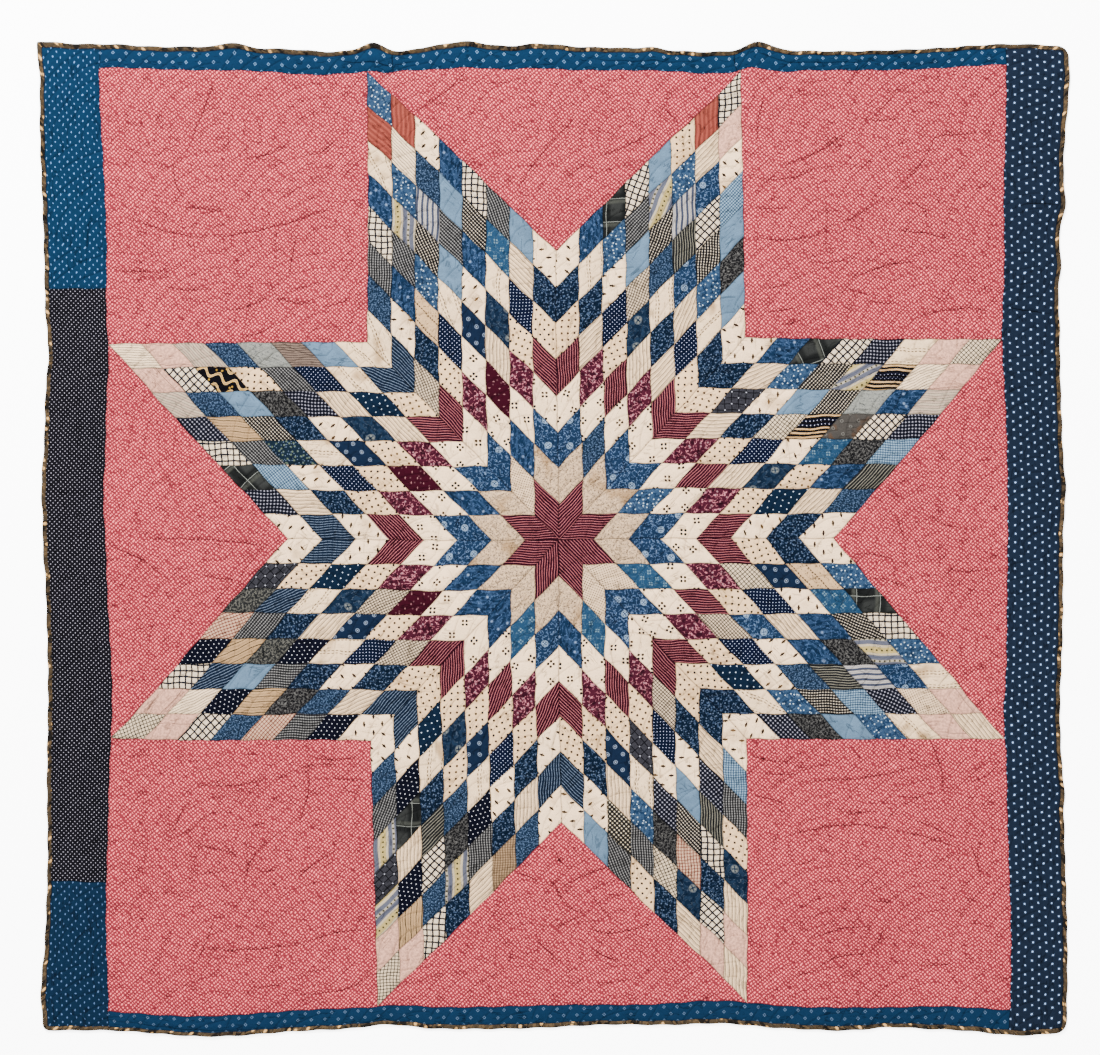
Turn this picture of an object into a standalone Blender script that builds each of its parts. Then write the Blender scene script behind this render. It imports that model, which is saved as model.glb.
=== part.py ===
"""Star quilt blanket, lying flat and face up.

Lengths below are in millimetres and become metres when a mesh is made. The quilt's width runs along X, its
height along Y, and its underside lies on Z = 0 with the origin under the middle of its outline.

The layout is first drawn straight, as it was cut. settle() then moves every point to where years of use and
washing have pulled it, so all the pieces keep sharing their seams.
"""

import math
from collections import namedtuple

import bmesh
import bpy
from mathutils import Matrix, Vector

MM = 0.001

Sides = namedtuple("Sides", "left right bottom top")
FIELD = Sides(left=-874, right=890, bottom=-919, top=917)
RIM = Sides(left=-994, right=1002, bottom=-962, top=960)
BINDING_WIDTH = 9
LEFT_BORDER_JOINTS = (-669, 489)
SEAM_GAP = 0.4

DIAMONDS_PER_EDGE = 8
SEAM_STEPS = 16
SQUARE_STEPS = 24
CORNER_STEPS = (0, 7, 16)
SIDE_BORDER_STEPS = (0, 7, 16, 46, 78, 111)
NARROW_BORDER_STEPS = (0, 17, 34)

SEAM_THICKNESS = 2.8
DIAMOND_PUFF = 2.6
SQUARE_PUFF = 1.5
BORDER_PUFF = 1.4
BINDING_THICKNESS = 4.2
PUFF_SHOULDER = 24
QUILTING_PITCH = 87
QUILTING_DEPTH = 0.8
FAN_SIZE = 200
FAN_ORIGIN = (-40, -30)

STAR_CENTRE = (12, -3)
StarPoint = namedtuple("StarPoint", "name tip notch_before notch_after")
STAR_POINTS = (
    StarPoint("nnw", (-359, 917), (8, 563), (-361, 385)),
    StarPoint("wnw", (-874, 381), (-361, 385), (-519, -1)),
    StarPoint("wsw", (-874, -389), (-519, -1), (-357, -395)),
    StarPoint("ssw", (-341, -919), (-357, -395), (18, -558)),
    StarPoint("sse", (378, -919), (18, -558), (382, -393)),
    StarPoint("ese", (890, -393), (382, -393), (549, 1)),
    StarPoint("ene", (890, 389), (549, 1), (380, 393)),
    StarPoint("nne", (369, 917), (380, 393), (8, 563)),
)
TIPS = {point.name: point.tip for point in STAR_POINTS}

CORNER_RADII = {"left_bottom": 12, "right_bottom": 17, "left_top": 5, "right_top": 24}

# Where each seam or edge has been pulled off its straight line: the middle of the bulge along the side, how
# far it spreads, and how far it stands out. A negative value is a dip towards the middle of the quilt.
Bulge = namedtuple("Bulge", "along spread out")
FIELD_BULGES = Sides(
    left=(
        Bulge(900, 170, 13),
        Bulge(560, 80, -2),
        Bulge(350, 70, -5.5),
        Bulge(80, 70, 5),
        Bulge(-310, 170, -12.5),
        Bulge(-560, 100, -3),
        Bulge(-900, 90, -5),
    ),
    right=(
        Bulge(660, 110, -5),
        Bulge(400, 120, -8.5),
        Bulge(30, 180, 3),
        Bulge(-345, 60, -5.5),
        Bulge(-810, 220, 9.5),
    ),
    bottom=(
        Bulge(-700, 190, 17),
        Bulge(-298, 50, -5),
        Bulge(60, 160, -5.5),
        Bulge(320, 110, -13),
        Bulge(745, 60, -2.5),
        Bulge(900, 60, 5),
    ),
    top=(
        Bulge(-850, 100, 5),
        Bulge(-455, 90, -9),
        Bulge(-318, 20, -4),
        Bulge(-165, 60, 5),
        Bulge(-30, 50, 4),
        Bulge(310, 70, -6.5),
        Bulge(392, 26, 7),
        Bulge(455, 30, -3),
        Bulge(890, 130, 11),
    ),
)
RIM_BULGES = Sides(
    left=(
        Bulge(985, 55, 13),
        Bulge(830, 200, 10),
        Bulge(365, 60, -7),
        Bulge(95, 75, 7),
        Bulge(-20, 45, 4),
        Bulge(-300, 190, -6),
        Bulge(-620, 130, -5),
        Bulge(-890, 70, 8),
    ),
    right=(
        Bulge(905, 110, 12.5),
        Bulge(655, 35, 5),
        Bulge(590, 35, -7),
        Bulge(480, 45, -5),
        Bulge(380, 160, -6.5),
        Bulge(95, 50, 5.5),
        Bulge(-340, 120, -6.5),
        Bulge(-493, 25, 3),
        Bulge(-830, 230, 8.5),
    ),
    bottom=(
        Bulge(-960, 60, 2),
        Bulge(-670, 150, 14.5),
        Bulge(-320, 60, -9),
        Bulge(130, 140, -9),
        Bulge(330, 90, -10),
        Bulge(560, 60, 3),
        Bulge(662, 50, -4),
        Bulge(915, 95, 12.5),
    ),
    top=(
        Bulge(-1013, 110, 15),
        Bulge(-845, 70, 7),
        Bulge(-690, 90, 4),
        Bulge(-617, 28, 10),
        Bulge(-430, 60, -6),
        Bulge(-350, 28, 12),
        Bulge(-295, 26, -6),
        Bulge(-170, 62, 14),
        Bulge(-20, 60, 10),
        Bulge(100, 60, 2.5),
        Bulge(192, 25, 4.5),
        Bulge(300, 90, -6),
        Bulge(405, 32, 17),
        Bulge(560, 150, -5),
        Bulge(900, 120, 9),
    ),
)
BULGE_REACH_INWARD = 2.5

# Slow waves in the seams inside the field: how far they move a seam, and how long one wave is.
SWAY = 1.6
SWAY_LENGTH_X = 830
SWAY_LENGTH_Y = 710

# Soft folds that stand up under the cloth: where, how long and wide, which way they run, and how high.
Fold = namedtuple("Fold", "x y length width turn_deg height")
FOLDS = (
    Fold(-350, 935, 90, 26, 90, 2.4),
    Fold(405, 930, 100, 30, 90, 3.0),
    Fold(-617, 945, 70, 26, 90, 1.6),
    Fold(-170, 945, 60, 60, 0, 1.2),
    Fold(970, 640, 90, 30, 0, 1.8),
    Fold(960, 500, 80, 30, 0, 1.6),
    Fold(-700, -940, 160, 40, 0, 1.4),
    Fold(560, 560, 260, 34, -12, 1.0),
    Fold(-560, 500, 300, 36, 8, 1.1),
    Fold(-540, -600, 280, 34, 14, 1.0),
    Fold(600, -560, 320, 36, 4, 1.1),
)

Cloth = namedtuple("Cloth", "name colour")
PATCHWORK = Cloth("patchwork", (0.36, 0.33, 0.33))
PINK = Cloth("pink_ground", (0.62, 0.18, 0.20))
BLUE = Cloth("blue_dotted", (0.02, 0.10, 0.26))
NAVY = Cloth("navy_sprigged", (0.02, 0.05, 0.12))
DASHED = Cloth("blue_dashed", (0.02, 0.11, 0.28))
PIN_DOTTED = Cloth("pin_dotted", (0.03, 0.03, 0.05))
BINDING = Cloth("binding_print", (0.14, 0.10, 0.06))
CLOTH_ROUGHNESS = 0.9


def clear_scene():
    for thing in list(bpy.data.objects):
        bpy.data.objects.remove(thing, do_unlink=True)


def cloth_material(cloth):
    """The piece's own Principled material in the cloth's colour."""
    found = bpy.data.materials.get(cloth.name)
    if found:
        return found
    material = bpy.data.materials.new(cloth.name)
    material.use_nodes = True
    shader = material.node_tree.nodes["Principled BSDF"]
    shader.inputs["Base Color"].default_value = (*cloth.colour, 1)
    shader.inputs["Roughness"].default_value = CLOTH_ROUGHNESS
    shader.inputs["Metallic"].default_value = 0
    return material


def bulge(rows, along, depth=0):
    """How far a line stands out at this place along it, fading with depth inside the line."""
    total = 0
    for row in rows:
        near = ((along - row.along) / row.spread) ** 2
        deep = (depth / (BULGE_REACH_INWARD * row.spread)) ** 2
        total += row.out * math.exp(-near - deep)
    return total


def side_pull(side, along, distance):
    """Outward movement at a signed distance beyond one seam of the field."""
    border = abs(getattr(RIM, side) - getattr(FIELD, side))
    seam = getattr(FIELD_BULGES, side)
    if distance <= 0:
        return bulge(seam, along, -distance)
    share = distance / border
    return (1 - share) * bulge(seam, along) + share * bulge(getattr(RIM_BULGES, side), along)


def round_corner(x, y):
    """Squeezes the square corner of the outline into a round one."""
    side_x = "right" if x > 0 else "left"
    side_y = "top" if y > 0 else "bottom"
    radius = CORNER_RADII[f"{side_x}_{side_y}"]
    in_x = abs(x) - abs(getattr(RIM, side_x)) + radius
    in_y = abs(y) - abs(getattr(RIM, side_y)) + radius
    if in_x <= 0 or in_y <= 0:
        return x, y
    round_x = in_x * math.sqrt(1 - in_y**2 / (2 * radius**2))
    round_y = in_y * math.sqrt(1 - in_x**2 / (2 * radius**2))
    return x + (round_x - in_x) * math.copysign(1, x), y + (round_y - in_y) * math.copysign(1, y)


def inside_share(x, y):
    """1 at the middle of the field, falling to 0 at its seams."""
    across = max(0, 1 - (x / FIELD.right) ** 2)
    up = max(0, 1 - (y / FIELD.top) ** 2)
    return across * up


def settle(x, y):
    """Moves a point of the straight layout to where it lies on the used quilt."""
    x, y = round_corner(x, y)
    if x > 0:
        pull_x = side_pull("right", y, x - FIELD.right)
    else:
        pull_x = -side_pull("left", y, FIELD.left - x)
    if y > 0:
        pull_y = side_pull("top", x, y - FIELD.top)
    else:
        pull_y = -side_pull("bottom", x, FIELD.bottom - y)
    sway = SWAY * inside_share(x, y)
    pull_x += sway * math.sin(math.tau * y / SWAY_LENGTH_Y + 1)
    pull_y += sway * math.sin(math.tau * x / SWAY_LENGTH_X)
    return x + pull_x, y + pull_y


def fan_radius(x, y):
    """Distance from the centre of the quilting fan that this place belongs to."""
    column = math.floor((x - FAN_ORIGIN[0]) / FAN_SIZE)
    row = math.floor((y - FAN_ORIGIN[1]) / FAN_SIZE)
    centre_x = FAN_ORIGIN[0] + (column + 1) * FAN_SIZE
    centre_y = FAN_ORIGIN[1] + row * FAN_SIZE
    return math.hypot(x - centre_x, y - centre_y)


def quilting(x, y):
    """The ripple that the stitched fans leave in the batting."""
    return QUILTING_DEPTH * math.cos(math.tau * fan_radius(x, y) / QUILTING_PITCH)


def fold_height(x, y):
    total = 0
    for fold in FOLDS:
        turn = math.radians(fold.turn_deg)
        run = (x - fold.x) * math.cos(turn) + (y - fold.y) * math.sin(turn)
        across = (y - fold.y) * math.cos(turn) - (x - fold.x) * math.sin(turn)
        total += fold.height * math.exp(-((2 * run / fold.length) ** 2) - (across / fold.width) ** 2)
    return total


def shoulder(distance):
    """0 at a seam, rising to 1 at the full puff inside the piece."""
    return 1 - math.exp(-distance / PUFF_SHOULDER)


def inset(corners, distance):
    """The corners of a counter-clockwise outline with each of its sides moved inwards."""
    moved = []
    for number, corner in enumerate(corners):
        arriving = (corner - corners[number - 1]).normalized()
        leaving = (corners[(number + 1) % len(corners)] - corner).normalized()
        normal = Vector((-arriving.y, arriving.x)) + Vector((-leaving.y, leaving.x))
        moved.append(corner + normal * distance / (1 + arriving.dot(leaving)))
    return moved


def cut_outline(points):
    """Corners of a cut piece, less its share of the gap at each seam."""
    return inset([Vector(point) for point in points], SEAM_GAP / 2)


def shares(places):
    """Turns places along a side into shares of its whole length."""
    length = places[-1] - places[0]
    return [(place - places[0]) / length for place in places]


def even_shares(count):
    return [step / count for step in range(count + 1)]


def new_grid(count_u, count_v):
    """A flat grid of count_u by count_v cells over the unit square."""
    mesh = bmesh.new()
    bmesh.ops.create_grid(mesh, x_segments=count_u, y_segments=count_v, size=0.5)
    bmesh.ops.translate(mesh, verts=mesh.verts, vec=(0.5, 0.5, 0))
    return mesh


def spread_grid(mesh, shares_u, shares_v):
    """Moves the even grid lines to the given shares of each side."""
    for vert in mesh.verts:
        column = round(vert.co.x * (len(shares_u) - 1))
        row = round(vert.co.y * (len(shares_v) - 1))
        vert.co = (shares_u[column], shares_v[row], 0)


def lay_on_quad(mesh, corners):
    """Stretches the unit square over four corners, in the layout's millimetres."""
    first, second, third, fourth = corners
    for vert in mesh.verts:
        u, v = vert.co.x, vert.co.y
        low = first.lerp(second, u)
        high = fourth.lerp(third, u)
        place = low.lerp(high, v)
        vert.co = (place.x, place.y, 0)


def lay_on_triangle(mesh, corners):
    """Cuts the unit square along its diagonal and stretches the half over three corners."""
    parts = list(mesh.verts) + list(mesh.edges) + list(mesh.faces)
    bmesh.ops.bisect_plane(
        mesh, geom=parts, dist=0.0001, plane_co=(0.5, 0.5, 0), plane_no=(1, 1, 0), clear_outer=True
    )
    first, second, third = corners
    for vert in mesh.verts:
        place = first + (second - first) * vert.co.x + (third - first) * vert.co.y
        vert.co = (place.x, place.y, 0)


def distance_to_outline(place, corners):
    """How far a place lies inside the nearest side of a counter-clockwise outline."""
    nearest = math.inf
    for number, corner in enumerate(corners):
        side = (corner - corners[number - 1]).normalized()
        offset = place - corners[number - 1]
        nearest = min(nearest, side.x * offset.y - side.y * offset.x)
    return max(nearest, 0)


def close_below(mesh):
    """Drops walls from the rim of the sheet to the ground and closes the flat underside."""
    rim = [edge for edge in mesh.edges if edge.is_boundary]
    made = bmesh.ops.extrude_edge_only(mesh, edges=rim)["geom"]
    for part in made:
        if isinstance(part, bmesh.types.BMVert):
            part.co.z = 0
    foot = [part for part in made if isinstance(part, bmesh.types.BMEdge)]
    bmesh.ops.holes_fill(mesh, edges=foot, sides=0)
    bmesh.ops.recalc_face_normals(mesh, faces=mesh.faces)


def shape_piece(mesh, height):
    """Gives each point its height and its settled place, then closes the piece, in metres."""
    for vert in mesh.verts:
        x, y = vert.co.x, vert.co.y
        place = settle(x, y)
        vert.co = (place[0], place[1], height(x, y) + fold_height(x, y))
    close_below(mesh)
    bmesh.ops.scale(mesh, vec=(MM, MM, MM), verts=mesh.verts)


def add_piece(name, mesh, cloth, collection):
    data = bpy.data.meshes.new(name)
    mesh.to_mesh(data)
    mesh.free()
    data.materials.append(cloth_material(cloth))
    piece = bpy.data.objects.new(name, data)
    collection.objects.link(piece)
    return piece


def star_point(point, collection):
    """One lozenge of small diamonds, each diamond a low puff between its seams."""
    corners = cut_outline([STAR_CENTRE, point.notch_before, point.tip, point.notch_after])
    mesh = new_grid(DIAMONDS_PER_EDGE, DIAMONDS_PER_EDGE)
    lay_on_quad(mesh, corners)
    rim = [edge for edge in mesh.edges if edge.is_boundary]
    bmesh.ops.subdivide_edges(mesh, edges=rim, cuts=1)
    seams = set(mesh.verts)
    bmesh.ops.poke(mesh, faces=mesh.faces)
    low = {(round(vert.co.x, 2), round(vert.co.y, 2)) for vert in seams}

    def height(x, y):
        on_seam = (round(x, 2), round(y, 2)) in low
        return SEAM_THICKNESS + (0 if on_seam else DIAMOND_PUFF)

    shape_piece(mesh, height)
    return add_piece(f"star_point_{point.name}", mesh, PATCHWORK, collection)


def quilted_height(corners, puff):
    """A height that rises from the seams and carries the quilting inside them."""

    def height(x, y):
        full = shoulder(distance_to_outline(Vector((x, y)), corners))
        return SEAM_THICKNESS + full * (puff + quilting(x, y))

    return height


def corner_square(name, points, collection):
    corners = cut_outline(points)
    mesh = new_grid(SQUARE_STEPS, SQUARE_STEPS)
    lay_on_quad(mesh, corners)
    shape_piece(mesh, quilted_height(corners, SQUARE_PUFF))
    return add_piece(f"corner_square_{name}", mesh, PINK, collection)


def side_triangle(name, points, collection):
    corners = cut_outline(points)
    mesh = new_grid(SEAM_STEPS, SEAM_STEPS)
    lay_on_triangle(mesh, corners)
    shape_piece(mesh, quilted_height(corners, SQUARE_PUFF))
    return add_piece(f"side_triangle_{name}", mesh, PINK, collection)


def strip(name, corners, places_u, places_v, height, cloth, collection):
    """A long piece with its grid lines at chosen places along and across it."""
    mesh = new_grid(len(places_u) - 1, len(places_v) - 1)
    spread_grid(mesh, shares(places_u), shares(places_v))
    lay_on_quad(mesh, corners)
    shape_piece(mesh, height)
    return add_piece(name, mesh, cloth, collection)


def span(low, high, count):
    """Places from low to high in even steps, without the last."""
    return [low + (high - low) * share for share in even_shares(count)[:-1]]


def places_across_width():
    """Where the pieces along the top or bottom divide, between the two side borders."""
    return {
        "top": [FIELD.left, TIPS["nnw"][0], TIPS["nne"][0], FIELD.right],
        "bottom": [FIELD.left, TIPS["ssw"][0], TIPS["sse"][0], FIELD.right],
    }


def places_up_height():
    return {
        "left": [FIELD.bottom, TIPS["wsw"][1], TIPS["wnw"][1], FIELD.top],
        "right": [FIELD.bottom, TIPS["ese"][1], TIPS["ene"][1], FIELD.top],
    }


def field_stations(divisions):
    """Grid places along one side of the field, matching the squares and the triangle there."""
    first, second, third, last = divisions
    stations = span(first, second, SQUARE_STEPS) + span(second, third, SEAM_STEPS)
    return stations + span(third, last, SQUARE_STEPS) + [last]


def border_outer(side):
    """The line where a border meets the binding."""
    reach = getattr(RIM, side)
    return reach - math.copysign(BINDING_WIDTH, reach)


def side_border_stations(side):
    """Grid places up a side border, closer together at its two corners."""
    low, high = border_outer("bottom"), border_outer("top")
    stations = [low + step for step in CORNER_STEPS]
    stations += field_stations(places_up_height()[side])
    return stations + [high - step for step in reversed(CORNER_STEPS)]


def side_border_widths(side):
    """Grid places across a side border, from left to right."""
    outer = border_outer(side)
    inner = getattr(FIELD, side)
    reach = abs(inner - outer)
    steps = [step * reach / SIDE_BORDER_STEPS[-1] for step in SIDE_BORDER_STEPS]
    inward = math.copysign(1, inner - outer)
    return sorted(outer + inward * step for step in steps)


def binding_stations_x(side):
    middle = field_stations(places_across_width()[side])
    return side_border_widths("left")[:-1] + middle + side_border_widths("right")[1:]


def box_corners(left, right, bottom, top):
    return [(left, bottom), (right, bottom), (right, top), (left, top)]


def narrow_border(side, collection):
    """The top or the bottom border, between the two side borders."""
    inner, outer = getattr(FIELD, side), border_outer(side)
    corners = cut_outline(box_corners(FIELD.left, FIELD.right, min(inner, outer), max(inner, outer)))
    height = quilted_height(corners, BORDER_PUFF)
    along = field_stations(places_across_width()[side])
    return strip(f"border_{side}", corners, along, NARROW_BORDER_STEPS, height, BLUE, collection)


def side_border(name, side, low, high, cloth, collection):
    """A side border, or one of the lengths it is joined from."""
    widths = side_border_widths(side)
    corners = cut_outline(box_corners(widths[0], widths[-1], low, high))
    inside = [place for place in side_border_stations(side) if low + 1 < place < high - 1]
    height = quilted_height(corners, BORDER_PUFF)
    return strip(name, corners, widths, [low, *inside, high], height, cloth, collection)


def left_borders(collection):
    """The left border, joined from three lengths of two prints."""
    low_joint, high_joint = LEFT_BORDER_JOINTS
    low, high = border_outer("bottom"), border_outer("top")
    side_border("border_left_lower", "left", low, low_joint, DASHED, collection)
    side_border("border_left_middle", "left", low_joint, high_joint, PIN_DOTTED, collection)
    side_border("border_left_upper", "left", high_joint, high, DASHED, collection)


def binding_outline(side):
    """Outer and inner line of one mitred binding strip, counter-clockwise from the outer line."""
    inner = Sides(*(border_outer(name) for name in Sides._fields))
    rings = {
        "bottom": [("left", "bottom"), ("right", "bottom")],
        "right": [("right", "bottom"), ("right", "top")],
        "top": [("right", "top"), ("left", "top")],
        "left": [("left", "top"), ("left", "bottom")],
    }
    start, end = rings[side]

    def corner(edges, names):
        return (getattr(edges, names[0]), getattr(edges, names[1]))

    return [corner(RIM, start), corner(RIM, end), corner(inner, end), corner(inner, start)]


def binding_places(side):
    """Grid places along a binding strip, in the direction that its outline runs."""
    if side in ("top", "bottom"):
        places = binding_stations_x(side)
    else:
        places = side_border_stations(side)
    if side in ("top", "left"):
        return [-place for place in reversed(places)]
    return places


def binding_height(_x, _y):
    return BINDING_THICKNESS


def binding_strip(side, collection):
    """A folded strip over the raw edge, mitred where it meets the next."""
    corners = cut_outline(binding_outline(side))
    along = binding_places(side)
    return strip(f"binding_{side}", corners, along, (0, 1), binding_height, BINDING, collection)


def square_outlines():
    """Corners of the four pink squares, counter-clockwise."""
    points = {point.name: point for point in STAR_POINTS}
    north_west = points["nnw"].notch_after
    south_west = points["wsw"].notch_after
    south_east = points["sse"].notch_after
    north_east = points["ene"].notch_after
    return {
        "nw": [TIPS["wnw"], north_west, TIPS["nnw"], (FIELD.left, FIELD.top)],
        "sw": [(FIELD.left, FIELD.bottom), TIPS["ssw"], south_west, TIPS["wsw"]],
        "se": [TIPS["sse"], (FIELD.right, FIELD.bottom), TIPS["ese"], south_east],
        "ne": [north_east, TIPS["ene"], (FIELD.right, FIELD.top), TIPS["nne"]],
    }


def triangle_outlines():
    """Corners of the four pink triangles, counter-clockwise, with the long side first."""
    points = {point.name: point for point in STAR_POINTS}
    return {
        "n": [TIPS["nne"], TIPS["nnw"], points["nnw"].notch_before],
        "w": [TIPS["wnw"], TIPS["wsw"], points["wnw"].notch_after],
        "s": [TIPS["ssw"], TIPS["sse"], points["ssw"].notch_after],
        "e": [TIPS["ese"], TIPS["ene"], points["ese"].notch_after],
    }


def centre_over_origin(collection):
    """Moves the pieces so that the middle of their common outline is over the origin."""
    places = [vert.co for piece in collection.objects for vert in piece.data.vertices]
    middle_x = (min(place.x for place in places) + max(place.x for place in places)) / 2
    middle_y = (min(place.y for place in places) + max(place.y for place in places)) / 2
    for piece in collection.objects:
        piece.data.transform(Matrix.Translation((-middle_x, -middle_y, 0)))


def main():
    clear_scene()
    collection = bpy.data.collections.new("star_quilt_blanket")
    bpy.context.scene.collection.children.link(collection)
    for point in STAR_POINTS:
        star_point(point, collection)
    for name, points in square_outlines().items():
        corner_square(name, points, collection)
    for name, points in triangle_outlines().items():
        side_triangle(name, points, collection)
    narrow_border("top", collection)
    narrow_border("bottom", collection)
    low, high = border_outer("bottom"), border_outer("top")
    side_border("border_right", "right", low, high, NAVY, collection)
    left_borders(collection)
    for side in ("top", "right", "bottom", "left"):
        binding_strip(side, collection)
    centre_over_origin(collection)


main()
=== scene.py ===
"""Looks of a pieced star quilt that lies flat and face up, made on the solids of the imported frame.

Lengths are millimetres of the straight layout, as the quilt was cut and pieced, with X across and Y up. The
layout's settle() moves each point to where the used cloth lies, and a mesh is in metres. Colours are written
as they look, as red, green and blue from 0 to 255.
"""

import logging
import math
from collections.abc import Mapping, Sequence
from dataclasses import dataclass, field
from enum import Enum
from typing import Any

import bpy
import numpy as np
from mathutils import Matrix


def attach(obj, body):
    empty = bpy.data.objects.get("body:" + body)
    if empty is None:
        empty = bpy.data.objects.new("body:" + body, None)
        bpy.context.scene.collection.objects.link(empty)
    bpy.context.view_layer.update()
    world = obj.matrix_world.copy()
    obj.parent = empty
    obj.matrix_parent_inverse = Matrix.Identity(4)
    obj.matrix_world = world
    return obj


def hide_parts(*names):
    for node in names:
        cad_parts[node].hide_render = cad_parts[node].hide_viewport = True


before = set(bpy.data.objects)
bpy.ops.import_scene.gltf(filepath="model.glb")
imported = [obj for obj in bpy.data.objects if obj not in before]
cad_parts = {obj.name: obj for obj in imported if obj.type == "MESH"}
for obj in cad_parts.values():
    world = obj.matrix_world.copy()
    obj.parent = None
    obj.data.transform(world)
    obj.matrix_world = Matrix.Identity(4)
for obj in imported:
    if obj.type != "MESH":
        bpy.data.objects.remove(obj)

LOG = logging.getLogger("star_quilt")
MM = 0.001
BODY = "root"

Array = np.ndarray
Place = tuple[float, float]
Dye = tuple[int, int, int]


# Layout


@dataclass(frozen=True)
class Bulge:
    """Where a line has been pulled off straight: its middle along the line, its spread and its height."""

    along: float
    spread: float
    out: float


def bulges(*rows: tuple[float, float, float]) -> tuple[Bulge, ...]:
    """The bulges of a line, from rows of middle, spread and height."""
    return tuple(Bulge(*row) for row in rows)


@dataclass(frozen=True)
class Edge:
    """One side of the quilt: where its border's seam and its rim lie, and how each has been pulled."""

    seam: float
    rim: float
    seam_bulges: tuple[Bulge, ...]
    rim_bulges: tuple[Bulge, ...]
    reach_inward: float = 2.5

    @property
    def outward(self) -> float:
        """The sign of the direction out of the quilt."""
        return math.copysign(1, self.rim)

    def out_by(self, bulges: tuple[Bulge, ...], along: Array, depth: Array | float = 0) -> Array:
        """How far a line stands out, fading with depth inside it.

        Args:
            bulges: The line's bulges.
            along: Places along the line.
            depth: How far inside the line each place is.

        Returns:
            The distance out of the quilt for each place.
        """
        total = np.zeros_like(along)
        for bulge in bulges:
            near = ((along - bulge.along) / bulge.spread) ** 2
            deep = (depth / (self.reach_inward * bulge.spread)) ** 2
            total = total + bulge.out * np.exp(-near - deep)
        return total

    def pull(self, place: Array, along: Array) -> Array:
        """How far points move across this side.

        Args:
            place: Each point's coordinate across the side.
            along: Each point's coordinate along the side.

        Returns:
            The signed movement of each point.
        """
        distance = self.outward * (place - self.seam)
        share = np.clip(distance / abs(self.rim - self.seam), 0, None)
        inside = self.out_by(self.seam_bulges, along, np.maximum(-distance, 0))
        seam = (1 - share) * self.out_by(self.seam_bulges, along)
        outside = seam + share * self.out_by(self.rim_bulges, along)
        return self.outward * np.where(distance <= 0, inside, outside)


LEFT = Edge(
    seam=-874,
    rim=-994,
    seam_bulges=bulges(
        (900, 170, 13), (560, 80, -2), (350, 70, -5.5), (80, 70, 5), (-310, 170, -12.5), (-560, 100, -3),
        (-900, 90, -5),
    ),
    rim_bulges=bulges(
        (985, 55, 13), (830, 200, 10), (365, 60, -7), (95, 75, 7), (-20, 45, 4), (-300, 190, -6),
        (-620, 130, -5), (-890, 70, 8),
    ),
)
RIGHT = Edge(
    seam=890,
    rim=1002,
    seam_bulges=bulges(
        (660, 110, -5), (400, 120, -8.5), (30, 180, 3), (-345, 60, -5.5), (-810, 220, 9.5),
    ),
    rim_bulges=bulges(
        (905, 110, 12.5), (655, 35, 5), (590, 35, -7), (480, 45, -5), (380, 160, -6.5), (95, 50, 5.5),
        (-340, 120, -6.5), (-493, 25, 3), (-830, 230, 8.5),
    ),
)
BOTTOM = Edge(
    seam=-919,
    rim=-962,
    seam_bulges=bulges(
        (-700, 190, 17), (-298, 50, -5), (60, 160, -5.5), (320, 110, -13), (745, 60, -2.5), (900, 60, 5),
    ),
    rim_bulges=bulges(
        (-960, 60, 2), (-670, 150, 14.5), (-320, 60, -9), (130, 140, -9), (330, 90, -10), (560, 60, 3),
        (662, 50, -4), (915, 95, 12.5),
    ),
)
TOP = Edge(
    seam=917,
    rim=960,
    seam_bulges=bulges(
        (-850, 100, 5), (-455, 90, -9), (-318, 20, -4), (-165, 60, 5), (-30, 50, 4), (310, 70, -6.5),
        (392, 26, 7), (455, 30, -3), (890, 130, 11),
    ),
    rim_bulges=bulges(
        (-1013, 110, 15), (-845, 70, 7), (-690, 90, 4), (-617, 28, 10), (-430, 60, -6), (-350, 28, 12),
        (-295, 26, -6), (-170, 62, 14), (-20, 60, 10), (100, 60, 2.5), (192, 25, 4.5), (300, 90, -6),
        (405, 32, 17), (560, 150, -5), (900, 120, 9),
    ),
)


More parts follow.
